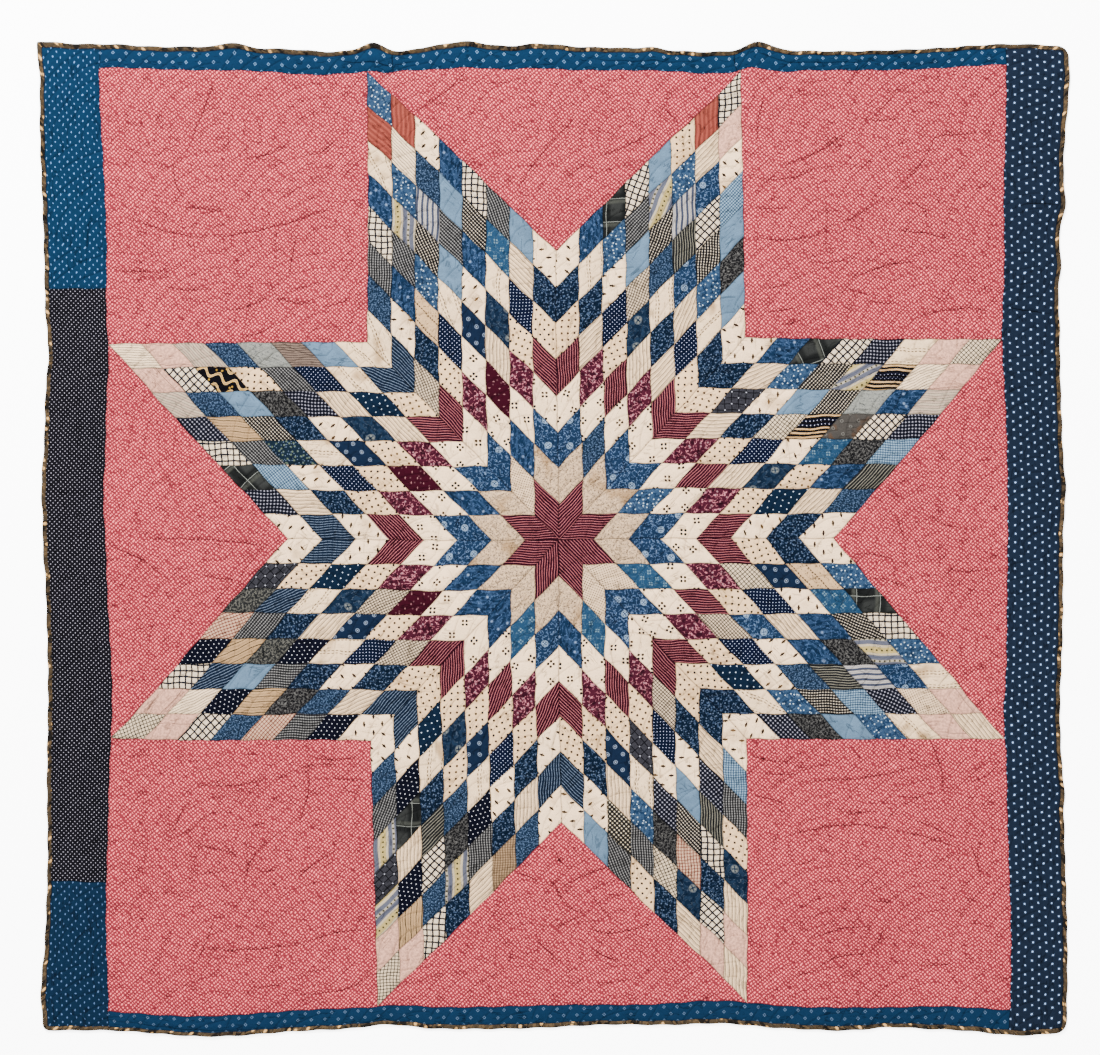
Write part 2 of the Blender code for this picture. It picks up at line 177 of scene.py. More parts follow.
@dataclass(frozen=True)
class Layout:
    """The quilt as it was cut, and how years of use have moved it."""

    centre: Place = (12, -3)
    binding_width: float = 9
    left_joints: Place = (-669, 489)
    corner_radii: tuple[float, ...] = (12, 17, 5, 24)
    sway: float = 1.6
    sway_lengths: Place = (830, 710)
    waver: float = 0.8
    waver_lengths: Place = (61, 94)
    outline_steps: int = 4000

    @property
    def binding_inner(self) -> tuple[float, ...]:
        """Where the binding meets the borders: left, right, bottom and top."""
        return tuple(edge.rim - edge.outward * self.binding_width for edge in (LEFT, RIGHT, BOTTOM, TOP))

    def round_corners(self, x: Array, y: Array) -> tuple[Array, Array]:
        """Squeezes the square corners of the outline into round ones.

        Args:
            x: Places across the quilt.
            y: Places up the quilt.

        Returns:
            The same points with the four corners rounded.
        """
        left_bottom, right_bottom, left_top, right_top = self.corner_radii
        low = np.where(x > 0, right_bottom, left_bottom)
        high = np.where(x > 0, right_top, left_top)
        radius = np.where(y > 0, high, low)
        in_x = np.abs(x) - np.where(x > 0, RIGHT.rim, -LEFT.rim) + radius
        in_y = np.abs(y) - np.where(y > 0, TOP.rim, -BOTTOM.rim) + radius
        corner = (in_x > 0) & (in_y > 0)
        round_x = in_x * np.sqrt(np.clip(1 - in_y**2 / (2 * radius**2), 0, None))
        round_y = in_y * np.sqrt(np.clip(1 - in_x**2 / (2 * radius**2), 0, None))
        moved_x = x + (round_x - in_x) * np.sign(x)
        moved_y = y + (round_y - in_y) * np.sign(y)
        return np.where(corner, moved_x, x), np.where(corner, moved_y, y)

    def settle(self, x: Array, y: Array) -> tuple[Array, Array]:
        """Moves points of the straight layout to where they lie on the used quilt.

        Args:
            x: Places across the quilt.
            y: Places up the quilt.

        Returns:
            The settled places.
        """
        x, y = self.round_corners(np.asarray(x, float), np.asarray(y, float))
        pull_x = np.where(x > 0, RIGHT.pull(x, y), LEFT.pull(x, y))
        pull_y = np.where(y > 0, TOP.pull(y, x), BOTTOM.pull(y, x))
        inside = np.clip(1 - (x / RIGHT.seam) ** 2, 0, None) * np.clip(1 - (y / TOP.seam) ** 2, 0, None)
        length_x, length_y = self.sway_lengths
        pull_x = pull_x + self.sway * inside * np.sin(math.tau * y / length_y + 1)
        pull_y = pull_y + self.sway * inside * np.sin(math.tau * x / length_x)
        short, long = self.waver_lengths
        pull_x = pull_x + self.waver * np.sin(math.tau * (y / short + x / long / 3))
        pull_y = pull_y + self.waver * np.sin(math.tau * (x / short - y / long / 3) + 2)
        return x + pull_x, y + pull_y

    def middle(self) -> Place:
        """The middle of the settled outline, which the frame has at its origin."""
        along = np.linspace(0, 1, self.outline_steps)
        across = LEFT.rim + along * (RIGHT.rim - LEFT.rim)
        up = BOTTOM.rim + along * (TOP.rim - BOTTOM.rim)
        left, _ = self.settle(np.full_like(up, LEFT.rim), up)
        right, _ = self.settle(np.full_like(up, RIGHT.rim), up)
        _, low = self.settle(across, np.full_like(across, BOTTOM.rim))
        _, high = self.settle(across, np.full_like(across, TOP.rim))
        return (left.min() + right.max()) / 2, (low.min() + high.max()) / 2


LAYOUT = Layout()
LEFT_INNER, RIGHT_INNER, BOTTOM_INNER, TOP_INNER = LAYOUT.binding_inner


# Relief


@dataclass(frozen=True)
class Fold:
    """A soft fold that stands up under the cloth."""

    x: float
    y: float
    length: float
    width: float
    turn_deg: float
    height: float


FOLDS = (
    Fold(-350, 935, 90, 26, 90, 2.4),
    Fold(405, 930, 100, 30, 90, 3.0),
    Fold(-617, 945, 70, 26, 90, 1.6),
    Fold(-170, 945, 60, 60, 0, 1.2),
    Fold(970, 640, 90, 30, 0, 1.8),
    Fold(960, 500, 80, 30, 0, 1.6),
    Fold(-700, -940, 160, 40, 0, 1.4),
    Fold(560, 560, 260, 34, -12, 1.0),
    Fold(-560, 500, 300, 36, 8, 1.1),
    Fold(-540, -600, 280, 34, 14, 1.0),
    Fold(600, -560, 320, 36, 4, 1.1),
)


@dataclass(frozen=True)
class Crease:
    """A pinched wrinkle along a bend through three places."""

    start: Place
    bend: Place
    end: Place
    depth: float = 1.5
    # How dark the crease is painted, as shade and dirt together.
    dark: float = 1.0
    width: float = 3.2

    def path(self, steps: int = 8) -> Array:
        """Points along the crease, from start to end through its bend."""
        start, bend, end = (np.array(place, float) for place in (self.start, self.bend, self.end))
        handle = 2 * bend - (start + end) / 2
        share = np.linspace(0, 1, steps + 1)[:, None]
        return (1 - share) ** 2 * start + 2 * share * (1 - share) * handle + share**2 * end


def creases(*rows: tuple[float, ...]) -> tuple[Crease, ...]:
    """Makes creases from rows of numbers.

    Args:
        rows: The x and y of each crease's start, bend and end, then its depth and darkness where they differ.

    Returns:
        The creases, in the order of the rows.
    """
    return tuple(Crease(row[0:2], row[2:4], row[4:6], *row[6:]) for row in rows)


UPPER_LEFT_CREASES = creases(
    (-655, 895, -668, 850, -717, 742), (-739, 734, -735, 700, -717, 655),
    (-713, 648, -683, 645, -653, 640), (-841, 630, -745, 598, -670, 589, 1.8),
    (-670, 589, -560, 606, -425, 650, 1.8), (-860, 526, -810, 521, -758, 524),
    (-764, 493, -710, 486, -657, 489), (-641, 446, -594, 454, -545, 477),
    (-529, 469, -495, 460, -457, 463), (-449, 452, -420, 460, -388, 469),
    (-496, 601, -508, 555, -512, 512), (-641, 734, -645, 707, -641, 681, 1.5, 0.6),
    (-563, 669, -555, 647, -555, 626, 1.5, 0.6), (-606, 740, -552, 754, -504, 781),
    (-461, 755, -440, 768, -421, 789), (-610, 393, -578, 399, -547, 416),
    (-835, 760, -790, 748, -752, 752, 1.5, 0.5), (-470, 870, -462, 835, -468, 800, 1.5, 0.5),
)
UPPER_RIGHT_CREASES = creases(
    (390, 708, 455, 704, 515, 724), (451, 728, 530, 762, 596, 808, 1.8), (390, 650, 430, 646, 472, 650),
    (398, 587, 478, 586, 539, 602), (561, 616, 612, 640, 653, 667), (668, 681, 722, 728, 747, 781, 1.8),
    (747, 781, 790, 786, 847, 785), (664, 603, 730, 597, 790, 581), (690, 654, 722, 652, 739, 628),
    (525, 538, 560, 543, 590, 554), (586, 507, 655, 534, 725, 542), (412, 491, 440, 493, 472, 501),
    (416, 444, 450, 446, 490, 454), (447, 418, 475, 423, 504, 434), (613, 467, 655, 461, 700, 465),
    (725, 432, 800, 449, 860, 444), (535, 671, 540, 620, 535, 567, 1.5, 0.6),
    (416, 873, 410, 845, 400, 812), (613, 822, 650, 818, 682, 822),
)
LOWER_LEFT_CREASES = creases(
    (-482, -430, -480, -500, -500, -556), (-482, -427, -430, -433, -380, -429),
    (-433, -468, -400, -473, -372, -470), (-710, -474, -630, -479, -557, -466, 1.8),
    (-706, -593, -665, -597, -617, -611), (-592, -556, -576, -555, -560, -550),
    (-514, -562, -582, -612, -604, -676), (-578, -648, -555, -645, -533, -642),
    (-508, -668, -465, -634, -423, -611), (-684, -789, -580, -794, -482, -789, 1.8),
    (-482, -789, -430, -772, -359, -766), (-588, -870, -558, -869, -529, -866),
    (-661, -725, -678, -776, -702, -821), (-496, -888, -400, -880, -351, -843),
    (-751, -588, -735, -540, -710, -505),
)
LOWER_RIGHT_CREASES = creases(
    (441, -589, 560, -562, 661, -570, 1.8), (661, -570, 733, -586, 788, -607),
    (512, -474, 615, -468, 706, -447), (380, -423, 420, -434, 463, -439),
    (417, -460, 447, -463, 476, -460), (390, -503, 425, -511, 459, -523),
    (559, -533, 597, -537, 635, -533), (676, -505, 703, -507, 729, -504),
    (694, -548, 750, -568, 788, -590), (735, -386, 760, -446, 766, -525),
    (815, -594, 828, -635, 833, -674), (498, -788, 556, -766, 625, -760),
    (643, -758, 634, -785, 617, -811), (512, -842, 562, -818, 617, -815),
    (719, -839, 750, -837, 780, -833), (621, -709, 642, -712, 662, -713),
    (472, -643, 495, -634, 517, -629),
)
TRIANGLE_CREASES = creases(
    (-265, 832, -215, 868, -163, 897), (-74, 675, -20, 752, 45, 822), (96, 748, 150, 770, 208, 799),
    (204, 850, 230, 832, 249, 808), (578, -36, 630, -30, 678, -50), (768, -56, 810, -65, 861, -58),
    (611, -76, 664, -84, 721, -109), (731, -164, 750, -180, 768, -193), (835, -242, 843, -250, 851, -262),
    (649, 105, 665, 94, 678, 79), (655, 56, 680, 24, 684, -8), (731, 46, 768, 27, 811, 18),
    (559, 16, 575, 10, 600, 8), (700, 165, 714, 152, 725, 136), (749, 175, 760, 164, 770, 150),
    (-876, -13, -812, -38, -750, -84, 1.8), (-802, -3, -690, -2, -545, -17),
    (-686, -72, -650, -79, -619, -83), (-612, -78, -588, -42, -557, -13),
    (-666, -129, -645, -105, -625, -87), (6, -617, 14, -632, 27, -646), (20, -687, 62, -664, 104, -650),
    (6, -683, 26, -722, 70, -740), (74, -697, 98, -732, 128, -758), (6, -771, 33, -754, 57, -744),
    (74, -766, 120, -778, 196, -757), (76, -807, 104, -824, 135, -836), (-69, -656, -42, -666, -27, -681),
    (-6, -673, 10, -690, 19, -712), (-33, -785, -8, -812, 20, -844), (-106, -742, -94, -751, -80, -757),
)
BORDER_CREASES = creases(
    (362, 962, 358, 938, 366, 905, 2.2), (-306, 962, -312, 940, -304, 908, 2.0),
    (-420, 944, -340, 930, -262, 936), (60, 940, 180, 934, 300, 942, 1.5, 0.7),
    (380, 946, 500, 934, 640, 938, 1.5, 0.7), (-900, -935, -700, -948, -500, -950, 1.5, 0.6),
    (895, 455, 930, 446, 985, 440, 1.8), (905, 640, 950, 652, 990, 648),
    (-985, 95, -940, 88, -885, 96, 1.5, 0.6),
)
PLACED_CREASES = (
    UPPER_LEFT_CREASES
    + UPPER_RIGHT_CREASES
    + LOWER_LEFT_CREASES
    + LOWER_RIGHT_CREASES
    + TRIANGLE_CREASES
    + BORDER_CREASES
)


@dataclass(frozen=True)
class Quilting:
    """Rows of quilting on fans of quarter circles, each fan centred at its cell's lower right corner."""

    pitch: float = 29
    fan: float = 200
    origin: Place = (-40, -30)

    def radius(self, x: Array, y: Array) -> Array:
        """Distance of each place from the middle of its fan."""
        across = self.fan - np.mod(x - self.origin[0], self.fan)
        up = np.mod(y - self.origin[1], self.fan)
        return np.hypot(across, up)

    def puff(self, x: Array, y: Array) -> Array:
        """1 on the crown between two rows of stitches and 0 on a row."""
        return np.abs(np.cos(math.pi * self.radius(x, y) / self.pitch)) ** 0.8


@dataclass(frozen=True)
class Loft:
    """How far a piece's cloth stands up inside its seams."""

    puff: float
    quilt: float
    shoulder: float


STAR_LOFT = Loft(puff=1.7, quilt=0.7, shoulder=6)
GROUND_LOFT = Loft(puff=1.6, quilt=1.2, shoulder=9)
BORDER_LOFT = Loft(puff=1.3, quilt=0.9, shoulder=7)


@dataclass
class Relief:
    """The height of the cloth's face, and the painted shade and dirt along its creases."""

    quilting: Quilting = field(default_factory=Quilting)
    seam: float = 2.8
    thinnest: float = 1.2
    far: float = 30
    crumple: float = 0.17
    crumple_waves: int = 22
    crumple_lengths: Place = (16, 60)
    scattered: int = 420
    scatter_lengths: Place = (25, 105)
    seed: int = 11
    creases: list[Crease] = field(default_factory=list)
    waves: list[tuple[float, float, float]] = field(default_factory=list)

    def __post_init__(self) -> None:
        """Scatters the small creases and picks the crumple's waves."""
        chance = np.random.default_rng(self.seed)
        self.creases = list(PLACED_CREASES) + [self.small_crease(chance) for _ in range(self.scattered)]
        for _ in range(self.crumple_waves):
            length = chance.uniform(*self.crumple_lengths)
            turn = chance.uniform(0, math.tau)
            phase = chance.uniform(0, math.tau)
            self.waves.append((math.tau * math.cos(turn) / length, math.tau * math.sin(turn) / length, phase))

    def small_crease(self, chance: np.random.Generator) -> Crease:
        """One short wrinkle across or along the rows of quilting.

        Args:
            chance: Where the random numbers come from.

        Returns:
            The crease.
        """
        x = chance.uniform(LEFT.seam - 60, RIGHT.seam + 60)
        y = chance.uniform(BOTTOM.seam, TOP.seam)
        fan, origin = self.quilting.fan, self.quilting.origin
        outward = math.atan2(np.mod(y - origin[1], fan), -(fan - np.mod(x - origin[0], fan)))
        turn = outward + chance.choice((0, math.pi / 2), p=(0.35, 0.65)) + chance.normal(0, 0.25)
        length = chance.uniform(*self.scatter_lengths)
        half = np.array((math.cos(turn), math.sin(turn))) * length / 2
        side = np.array((-math.sin(turn), math.cos(turn))) * length * chance.normal(0, 0.06)
        middle = np.array((x, y))
        return Crease(
            tuple(middle - half),
            tuple(middle + side),
            tuple(middle + half),
            depth=chance.uniform(0.4, 0.9),
            width=2.8,
            dark=chance.uniform(0.15, 0.75),
        )

    def folds(self, x: Array, y: Array) -> Array:
        """Height of the soft folds at each place.

        Args:
            x: Places across the quilt.
            y: Places up the quilt.

        Returns:
            The height of each place.
        """
        total = np.zeros_like(x)
        for fold in FOLDS:
            turn = math.radians(fold.turn_deg)
            run = (x - fold.x) * math.cos(turn) + (y - fold.y) * math.sin(turn)
            across = (y - fold.y) * math.cos(turn) - (x - fold.x) * math.sin(turn)
            total += fold.height * np.exp(-((2 * run / fold.length) ** 2) - (across / fold.width) ** 2)
        return total

    def creased(self, x: Array, y: Array) -> tuple[Array, Array, Array]:
        """Height of the creases, and their darkness, which is painted shade and dirt together.

        Args:
            x: Places across the quilt.
            y: Places up the quilt.

        Returns:
            The height of each place above the plain cloth, its darkness from 0 to 1 as painted shade and
            dirt, and the distance from the nearest crease, which is negative on its right.
        """
        height, dark = np.zeros_like(x), np.zeros_like(x)
        pinch = np.full_like(x, self.far)
        for crease in self.creases:
            path = crease.path()
            reach = 5 * crease.width
            low, high = path.min(0) - reach, path.max(0) + reach
            near = np.flatnonzero((x > low[0]) & (x < high[0]) & (y > low[1]) & (y < high[1]))
            if not near.size:
                continue
            side, share = distance_to_path(x[near], y[near], path)
            away = np.abs(side)
            taper = np.sqrt(np.clip(4 * share * (1 - share), 0, 1))
            flank = 0.6 * np.exp(-(((away - 2 * crease.width) / (1.3 * crease.width)) ** 2))
            height[near] += taper * crease.depth * (flank - np.exp(-((away / crease.width) ** 2)))
            # The crease's darkness, painted shade and dirt together, strongest at its middle.
            reach_dark = crease.dark * taper * np.exp(-((away / (2.4 * crease.width)) ** 2))
            dark[near] = np.maximum(dark[near], reach_dark)
            closer = away < np.abs(pinch[near])
            pinch[near[closer]] = side[closer]
        return height, dark, pinch

    def crumpled(self, x: Array, y: Array) -> Array:
        """Height of the all-over crumple that washing leaves.

        Args:
            x: Places across the quilt.
            y: Places up the quilt.

        Returns:
            The height of each place.
        """
        total = np.zeros_like(x)
        for turn_x, turn_y, phase in self.waves:
            total += np.sin(turn_x * x + turn_y * y + phase)
        return self.crumple * total / math.sqrt(self.crumple_waves / 2)

    def face(self, x: Array, y: Array, inside: Array, loft: Loft) -> tuple[Array, Array, Array]:
        """Shapes a piece's face.

        Args:
            x: Places across the quilt.
            y: Places up the quilt.
            inside: Distance of each place from the nearest seam.
            loft: How far the piece stands up.

        Returns:
            The height of each place above the ground, its crease darkness from 0 to 1 as painted shade and
            dirt, and its distance from a crease.
        """
        full = 1 - np.exp(-inside / loft.shoulder)
        height = self.seam + full * (loft.puff + loft.quilt * self.quilting.puff(x, y))
        creases, dark, pinch = self.creased(x, y)
        height += self.folds(x, y) + full * (creases + self.crumpled(x, y))
        return np.maximum(height, self.thinnest), dark, pinch


def distance_to_path(x: Array, y: Array, path: Array) -> tuple[Array, Array]:
    """Finds how far points are from a path.

    Args:
        x: Places across the quilt.
        y: Places up the quilt.
        path: The path's points in order.

    Returns:
        Each point's distance from the path, negative on its right, and its share of the way along the path.
    """
    nearest = np.full(x.shape, np.inf)
    left = np.ones(x.shape)
    share = np.zeros_like(x)
    count = len(path) - 1
    for number in range(count):
        start, run = path[number], path[number + 1] - path[number]
        part = ((x - start[0]) * run[0] + (y - start[1]) * run[1]) / max(run @ run, 1e-9)
        part = np.clip(part, 0, 1)
        away = np.hypot(x - start[0] - part * run[0], y - start[1] - part * run[1])
        closer = away < nearest
        nearest = np.where(closer, away, nearest)
        turned = run[0] * (y - start[1]) - run[1] * (x - start[0])
        left = np.where(closer, np.where(turned < 0, -1, 1), left)
        share = np.where(closer, (number + part) / count, share)
    return nearest * left, share


# Shader nodes


@dataclass(frozen=True)
class Toning:
    """How the studio's light and the picture's tone curve change a dye, turned round to find the dye."""

    mixing: float = 0.27
    black: float = 0.025
    middle: float = 0.057
    contrast: float = 0.8
    unmixing: float = 0.27
    brightest: float = 0.95
    blue_lift: float = 0.06

    def dye(self, look: tuple[float, float, float]) -> tuple[float, float, float, float]:
        """The shader's linear red, green, blue and alpha for a colour as it looks in the picture."""
        red, green, blue = look
        look = (red, green, blue + self.blue_lift * max(blue - red, 0))
        mean = sum(look) / 3
        mixed = [(part + self.mixing * (mean - part)) / 255 for part in look]
        shares = [min(max((part - self.black) / (1 - self.black), 0), self.brightest) for part in mixed]
        light = [(self.middle * share / (1 - share)) ** (1 / self.contrast) for share in shares]
        level = sum(light) / 3
        parts = [min(max(part + self.unmixing * (part - level), 0), 1) for part in light]
        return parts[0], parts[1], parts[2], 1.0


TONING = Toning()


class Thread:
    """A number on its way through a finish's nodes, with arithmetic that adds Math nodes."""

    def __init__(self, loom: "Loom", socket: bpy.types.NodeSocket) -> None:
        """Wraps a socket of the loom's node tree."""
        self.loom = loom
        self.socket = socket

    def __add__(self, other: "Thread | float") -> "Thread":
        """The sum."""
        return self.loom.math("ADD", self, other)

    __radd__ = __add__

    def __sub__(self, other: "Thread | float") -> "Thread":
        """The difference."""
        return self.loom.math("SUBTRACT", self, other)

    def __rsub__(self, other: float) -> "Thread":
        """The difference from a number."""
        return self.loom.math("SUBTRACT", other, self)

    def __mul__(self, other: "Thread | float") -> "Thread":
        """The product."""
        return self.loom.math("MULTIPLY", self, other)

    __rmul__ = __mul__

    def __truediv__(self, other: "Thread | float") -> "Thread":
        """The quotient."""
        return self.loom.math("DIVIDE", self, other)

    def to_nearest(self, pitch: float) -> "Thread":
        """Distance to the nearest multiple of the pitch."""
        return self.loom.math("PINGPONG", self, pitch / 2)

    def rise(self, low: float, high: float) -> "Thread":
        """0 below low, 1 above high and smooth between."""
        settings = {"interpolation_type": "SMOOTHSTEP"}
        sockets = {"Value": self, "From Min": low, "From Max": high}
        return self.loom.thread("ShaderNodeMapRange", settings, sockets)

    def fall(self, low: float, high: float) -> "Thread":
        """1 below low, 0 above high and smooth between."""
        return 1 - self.rise(low, high)


class Loom:
    """Builds the node tree of one finish."""

    def __init__(self, name: str) -> None:
        """Starts a material with a Principled shader.

        Args:
            name: The material's name.
        """
        self.material = bpy.data.materials.new(name)
        self.material.use_nodes = True
        self.tree = self.material.node_tree
        self.tree.nodes.clear()
        self.shader = self.node("ShaderNodeBsdfPrincipled")
        self.node("ShaderNodeOutputMaterial", None, {"Surface": self.shader.outputs["BSDF"]})

    def node(
        self,
        kind: str,
        settings: Mapping[str, Any] | None = None,
        sockets: Mapping[str | int, Any] | None = None,
    ) -> bpy.types.Node:
        """Adds a node.

        Args:
            kind: The node's type.
            settings: The node's own settings, which are set first.
            sockets: Values or links for its inputs, by name or number.

        Returns:
            The node.
        """
        made = self.tree.nodes.new(kind)
        for key, value in (settings or {}).items():
            setattr(made, key, value)
        for key, value in (sockets or {}).items():
            self.put(made.inputs[key], value)
        return made

    def put(self, socket: bpy.types.NodeSocket, value: Any) -> None:
        """Links a socket to a thread or another socket, or sets its plain value."""
        if isinstance(value, Thread):
            value = value.socket
        if isinstance(value, bpy.types.NodeSocket):
            self.tree.links.new(value, socket)
        else:
            socket.default_value = value

    def thread(
        self,
        kind: str,
        settings: Mapping[str, Any] | None,
        sockets: Mapping[str | int, Any],
        output: int | str = 0,
    ) -> Thread:
        """Adds a node and returns one of its outputs.

        Args:
            kind: The node's type.
            settings: Its own settings.
            sockets: Values or links for its inputs.
            output: The output's name or number.

        Returns:
            The output.
        """
        return Thread(self, self.node(kind, settings, sockets).outputs[output])

    def math(self, operation: str, *values: Thread | float) -> Thread:
        """Adds a Math node."""
        return self.thread("ShaderNodeMath", {"operation": operation}, dict(enumerate(values)))

    def length(self, first: Thread, second: Thread) -> Thread:
        """The length of a flat step of first by second."""
        step = self.thread("ShaderNodeCombineXYZ", None, {0: first, 1: second})
        return self.thread("ShaderNodeVectorMath", {"operation": "LENGTH"}, {0: step}, "Value")

    def mix(self, share: Thread | float, first: Any, second: Any) -> Thread:
        """A colour from first to second by share."""
        return self.thread("ShaderNodeMix", {"data_type": "RGBA"}, {0: share, 6: first, 7: second}, 2)

    def scaled(self, colour: Any, by: Thread | float) -> Thread:
        """A colour made darker or lighter."""
        return self.thread("ShaderNodeVectorMath", {"operation": "SCALE"}, {0: colour, "Scale": by})

    def noise(self, place: Thread, size: float, detail: float = 1, stretch: Place = (1, 1)) -> Thread:
        """Smooth noise from 0 to 1.

        Args:
            place: Where on the cloth, in millimetres.
            size: The size of its features.
            detail: How many finer layers it has.
            stretch: How many times longer the features are each way.

        Returns:
            The noise.
        """
        if stretch != (1, 1):
            by = (1 / stretch[0], 1 / stretch[1], 1)
            place = self.thread("ShaderNodeVectorMath", {"operation": "MULTIPLY"}, {0: place, 1: by})
        sockets = {"Vector": place, "Scale": 1 / size, "Detail": detail}
        return self.thread("ShaderNodeTexNoise", {"noise_dimensions": "2D"}, sockets)

    def cells(self, place: Thread, size: float) -> Thread:
        """Distance to the nearest of scattered seeds, in shares of the cell size."""
        sockets = {"Vector": place, "Scale": 1 / size}
        return self.thread("ShaderNodeTexVoronoi", {"voronoi_dimensions": "2D"}, sockets, "Distance")

    def attribute(self, name: str, output: str = "Fac") -> Thread:
        """An attribute of the piece's mesh."""
        return self.thread("ShaderNodeAttribute", {"attribute_name": name}, {}, output)

    def split(self, vector: Thread) -> tuple[Thread, Thread]:
        """The first two parts of a vector."""
        parts = self.node("ShaderNodeSeparateXYZ", None, {0: vector})
        return Thread(self, parts.outputs[0]), Thread(self, parts.outputs[1])


@dataclass(frozen=True)
class Cloth:
    """A place on the cloth, as its print sees it."""

    place: Thread
    along: Thread
    across: Thread


# Prints


class Motif(Enum):
    """The figures that a spotted print repeats."""

    DOT = "dot"
    RING = "ring"
    FOUR_DOTS = "four dots"
    SPRIG = "sprig"
    DIAMOND = "diamond"
    DASH = "dash"


@dataclass(frozen=True)
class Stripe:
    """A repeated line, along the cloth or across it."""

    colour: Dye
    pitch: float
    width: float
    offset: float = 0
    crosswise: bool = False
    strength: float = 1
    soft: float = 0.5

    def lay(self, loom: Loom, cloth: Cloth, ground: Any) -> Thread:
        """Prints the stripe on the ground.

        Args:
            loom: The finish's nodes.
            cloth: The place on the cloth.
            ground: The colour under the figure.

        Returns:
            The new colour.
        """
        place = cloth.along if self.crosswise else cloth.across
        away = (place + self.offset).to_nearest(self.pitch)
        mask = away.fall(self.width / 2 - self.soft / 2, self.width / 2 + self.soft / 2) * self.strength
        return loom.mix(mask, ground, TONING.dye(self.colour))


@dataclass(frozen=True)
class Spots:
    """A small motif in staggered rows."""

    colour: Dye
    pitch: Place
    size: float
    motif: Motif = Motif.DOT
    strength: float = 1
    loose: float = 0

    def distance(self, loom: Loom, along: Thread, across: Thread) -> Thread:
        """How far each place is outside the motif, in millimetres.

        Args:
            loom: The finish's nodes.
            along: Distance from the motif's middle along the cloth.
            across: Distance from its middle across the cloth.

        Returns:
            The distance, which is negative inside the motif.
        """
        size = self.size
        if self.motif is Motif.RING:
            return loom.math("ABSOLUTE", loom.length(along, across) - size) - size * 0.22
        if self.motif is Motif.FOUR_DOTS:
            return loom.length(along - size, across - size) - size * 0.7
        if self.motif is Motif.SPRIG:
            stem = loom.length(along * 2.6, across) - size
            leaf = loom.length(along, across * 3.2) - size * 0.62
            return loom.math("MINIMUM", stem, leaf)
        if self.motif is Motif.DIAMOND:
            return loom.math("ABSOLUTE", along + across - size) - size * 0.32
        if self.motif is Motif.DASH:
            return loom.length(along * 0.6, across) - size
        return loom.length(along, across) - size

    def lay(self, loom: Loom, cloth: Cloth, ground: Any) -> Thread:
        """Prints the motifs on the ground.

        Args:
            loom: The finish's nodes.
            cloth: The place on the cloth.
            ground: The colour under the figure.

        Returns:
            The new colour.
        """
        along, across = cloth.along, cloth.across
        if self.loose:
            drift = loom.noise(cloth.place, self.pitch[0] * 1.4)
            along = along + (drift - 0.5) * self.loose
            across = across + (drift - 0.5) * (self.loose * 1.3)
        pitch_along, pitch_across = self.pitch
        rows = self.distance(loom, along.to_nearest(pitch_along), across.to_nearest(pitch_across))
        shifted_along = (along + pitch_along / 2).to_nearest(pitch_along)
        shifted_across = (across + pitch_across / 2).to_nearest(pitch_across)
        between = self.distance(loom, shifted_along, shifted_across)
        soft = min(0.35, self.size * 0.4)
        mask = loom.math("MINIMUM", rows, between).fall(-soft, soft) * self.strength
        return loom.mix(mask, ground, TONING.dye(self.colour))


@dataclass(frozen=True)
class Scrolls:
    """Thin curling lines, as the outlines of leaves and tendrils."""

    colour: Dye
    size: float
    thin: float = 0.035
    strength: float = 0.8

    def lay(self, loom: Loom, cloth: Cloth, ground: Any) -> Thread:
        """Prints the lines on the ground.

        Args:
            loom: The finish's nodes.
            cloth: The place on the cloth.
            ground: The colour under the figure.

        Returns:
            The new colour.
        """
        field_ = loom.noise(cloth.place, self.size, 1.5)
        line = loom.math("ABSOLUTE", field_ - 0.5).fall(self.thin * 0.4, self.thin)
        patchy = loom.noise(cloth.place, self.size * 0.8, 0, (1.3, 0.8)).rise(0.38, 0.52)
        return loom.mix(line * patchy * self.strength, ground, TONING.dye(self.colour))


@dataclass(frozen=True)
class Leaves:
    """Small leaf or petal shapes scattered over the cloth."""

    colour: Dye
    size: float
    fill: float = 0.3
    strength: float = 0.9

    def lay(self, loom: Loom, cloth: Cloth, ground: Any) -> Thread:
        """Prints the leaves on the ground.

        Args:
            loom: The finish's nodes.
            cloth: The place on the cloth.
            ground: The colour under the figure.

        Returns:
            The new colour.
        """
        near = loom.cells(cloth.place, self.size).fall(self.fill - 0.06, self.fill + 0.06)
        return loom.mix(near * self.strength, ground, TONING.dye(self.colour))


@dataclass(frozen=True)
class Patches:
    """Soft or sharp patches of another colour."""

    colour: Dye
    size: float
    share: float = 0.5
    sharp: float = 0.06
    strength: float = 1
    stretch: Place = (1, 1)
    detail: float = 1

    def lay(self, loom: Loom, cloth: Cloth, ground: Any) -> Thread:
        """Prints the patches on the ground.

        Args:
            loom: The finish's nodes.
            cloth: The place on the cloth.
            ground: The colour under the figure.

        Returns:
            The new colour.
        """
        level = 1 - self.share
        patch = loom.noise(cloth.place, self.size, self.detail, self.stretch)
        mask = patch.rise(level - self.sharp, level + self.sharp) * self.strength
        return loom.mix(mask, ground, TONING.dye(self.colour))


@dataclass(frozen=True)
class Serpent:
    """A winding band with a thin line along each side."""

    colour: Dye
    edge: Dye
    pitch: float
    width: float
    swing: float
    length: float

    def lay(self, loom: Loom, cloth: Cloth, ground: Any) -> Thread:
        """Prints the winding band on the ground.

        Args:
            loom: The finish's nodes.
            cloth: The place on the cloth.
            ground: The colour under the figure.

        Returns:
            The new colour.
        """
        wave = loom.math("SINE", cloth.along * (math.tau / self.length)) * self.swing
        away = (cloth.across + wave).to_nearest(self.pitch)
        edge = away.fall(self.width / 2 + 0.9, self.width / 2 + 1.3)
        band = away.fall(self.width / 2 - 0.2, self.width / 2 + 0.2)
        return loom.mix(band, loom.mix(edge, ground, TONING.dye(self.edge)), TONING.dye(self.colour))


Figure = Stripe | Spots | Scrolls | Leaves | Patches | Serpent


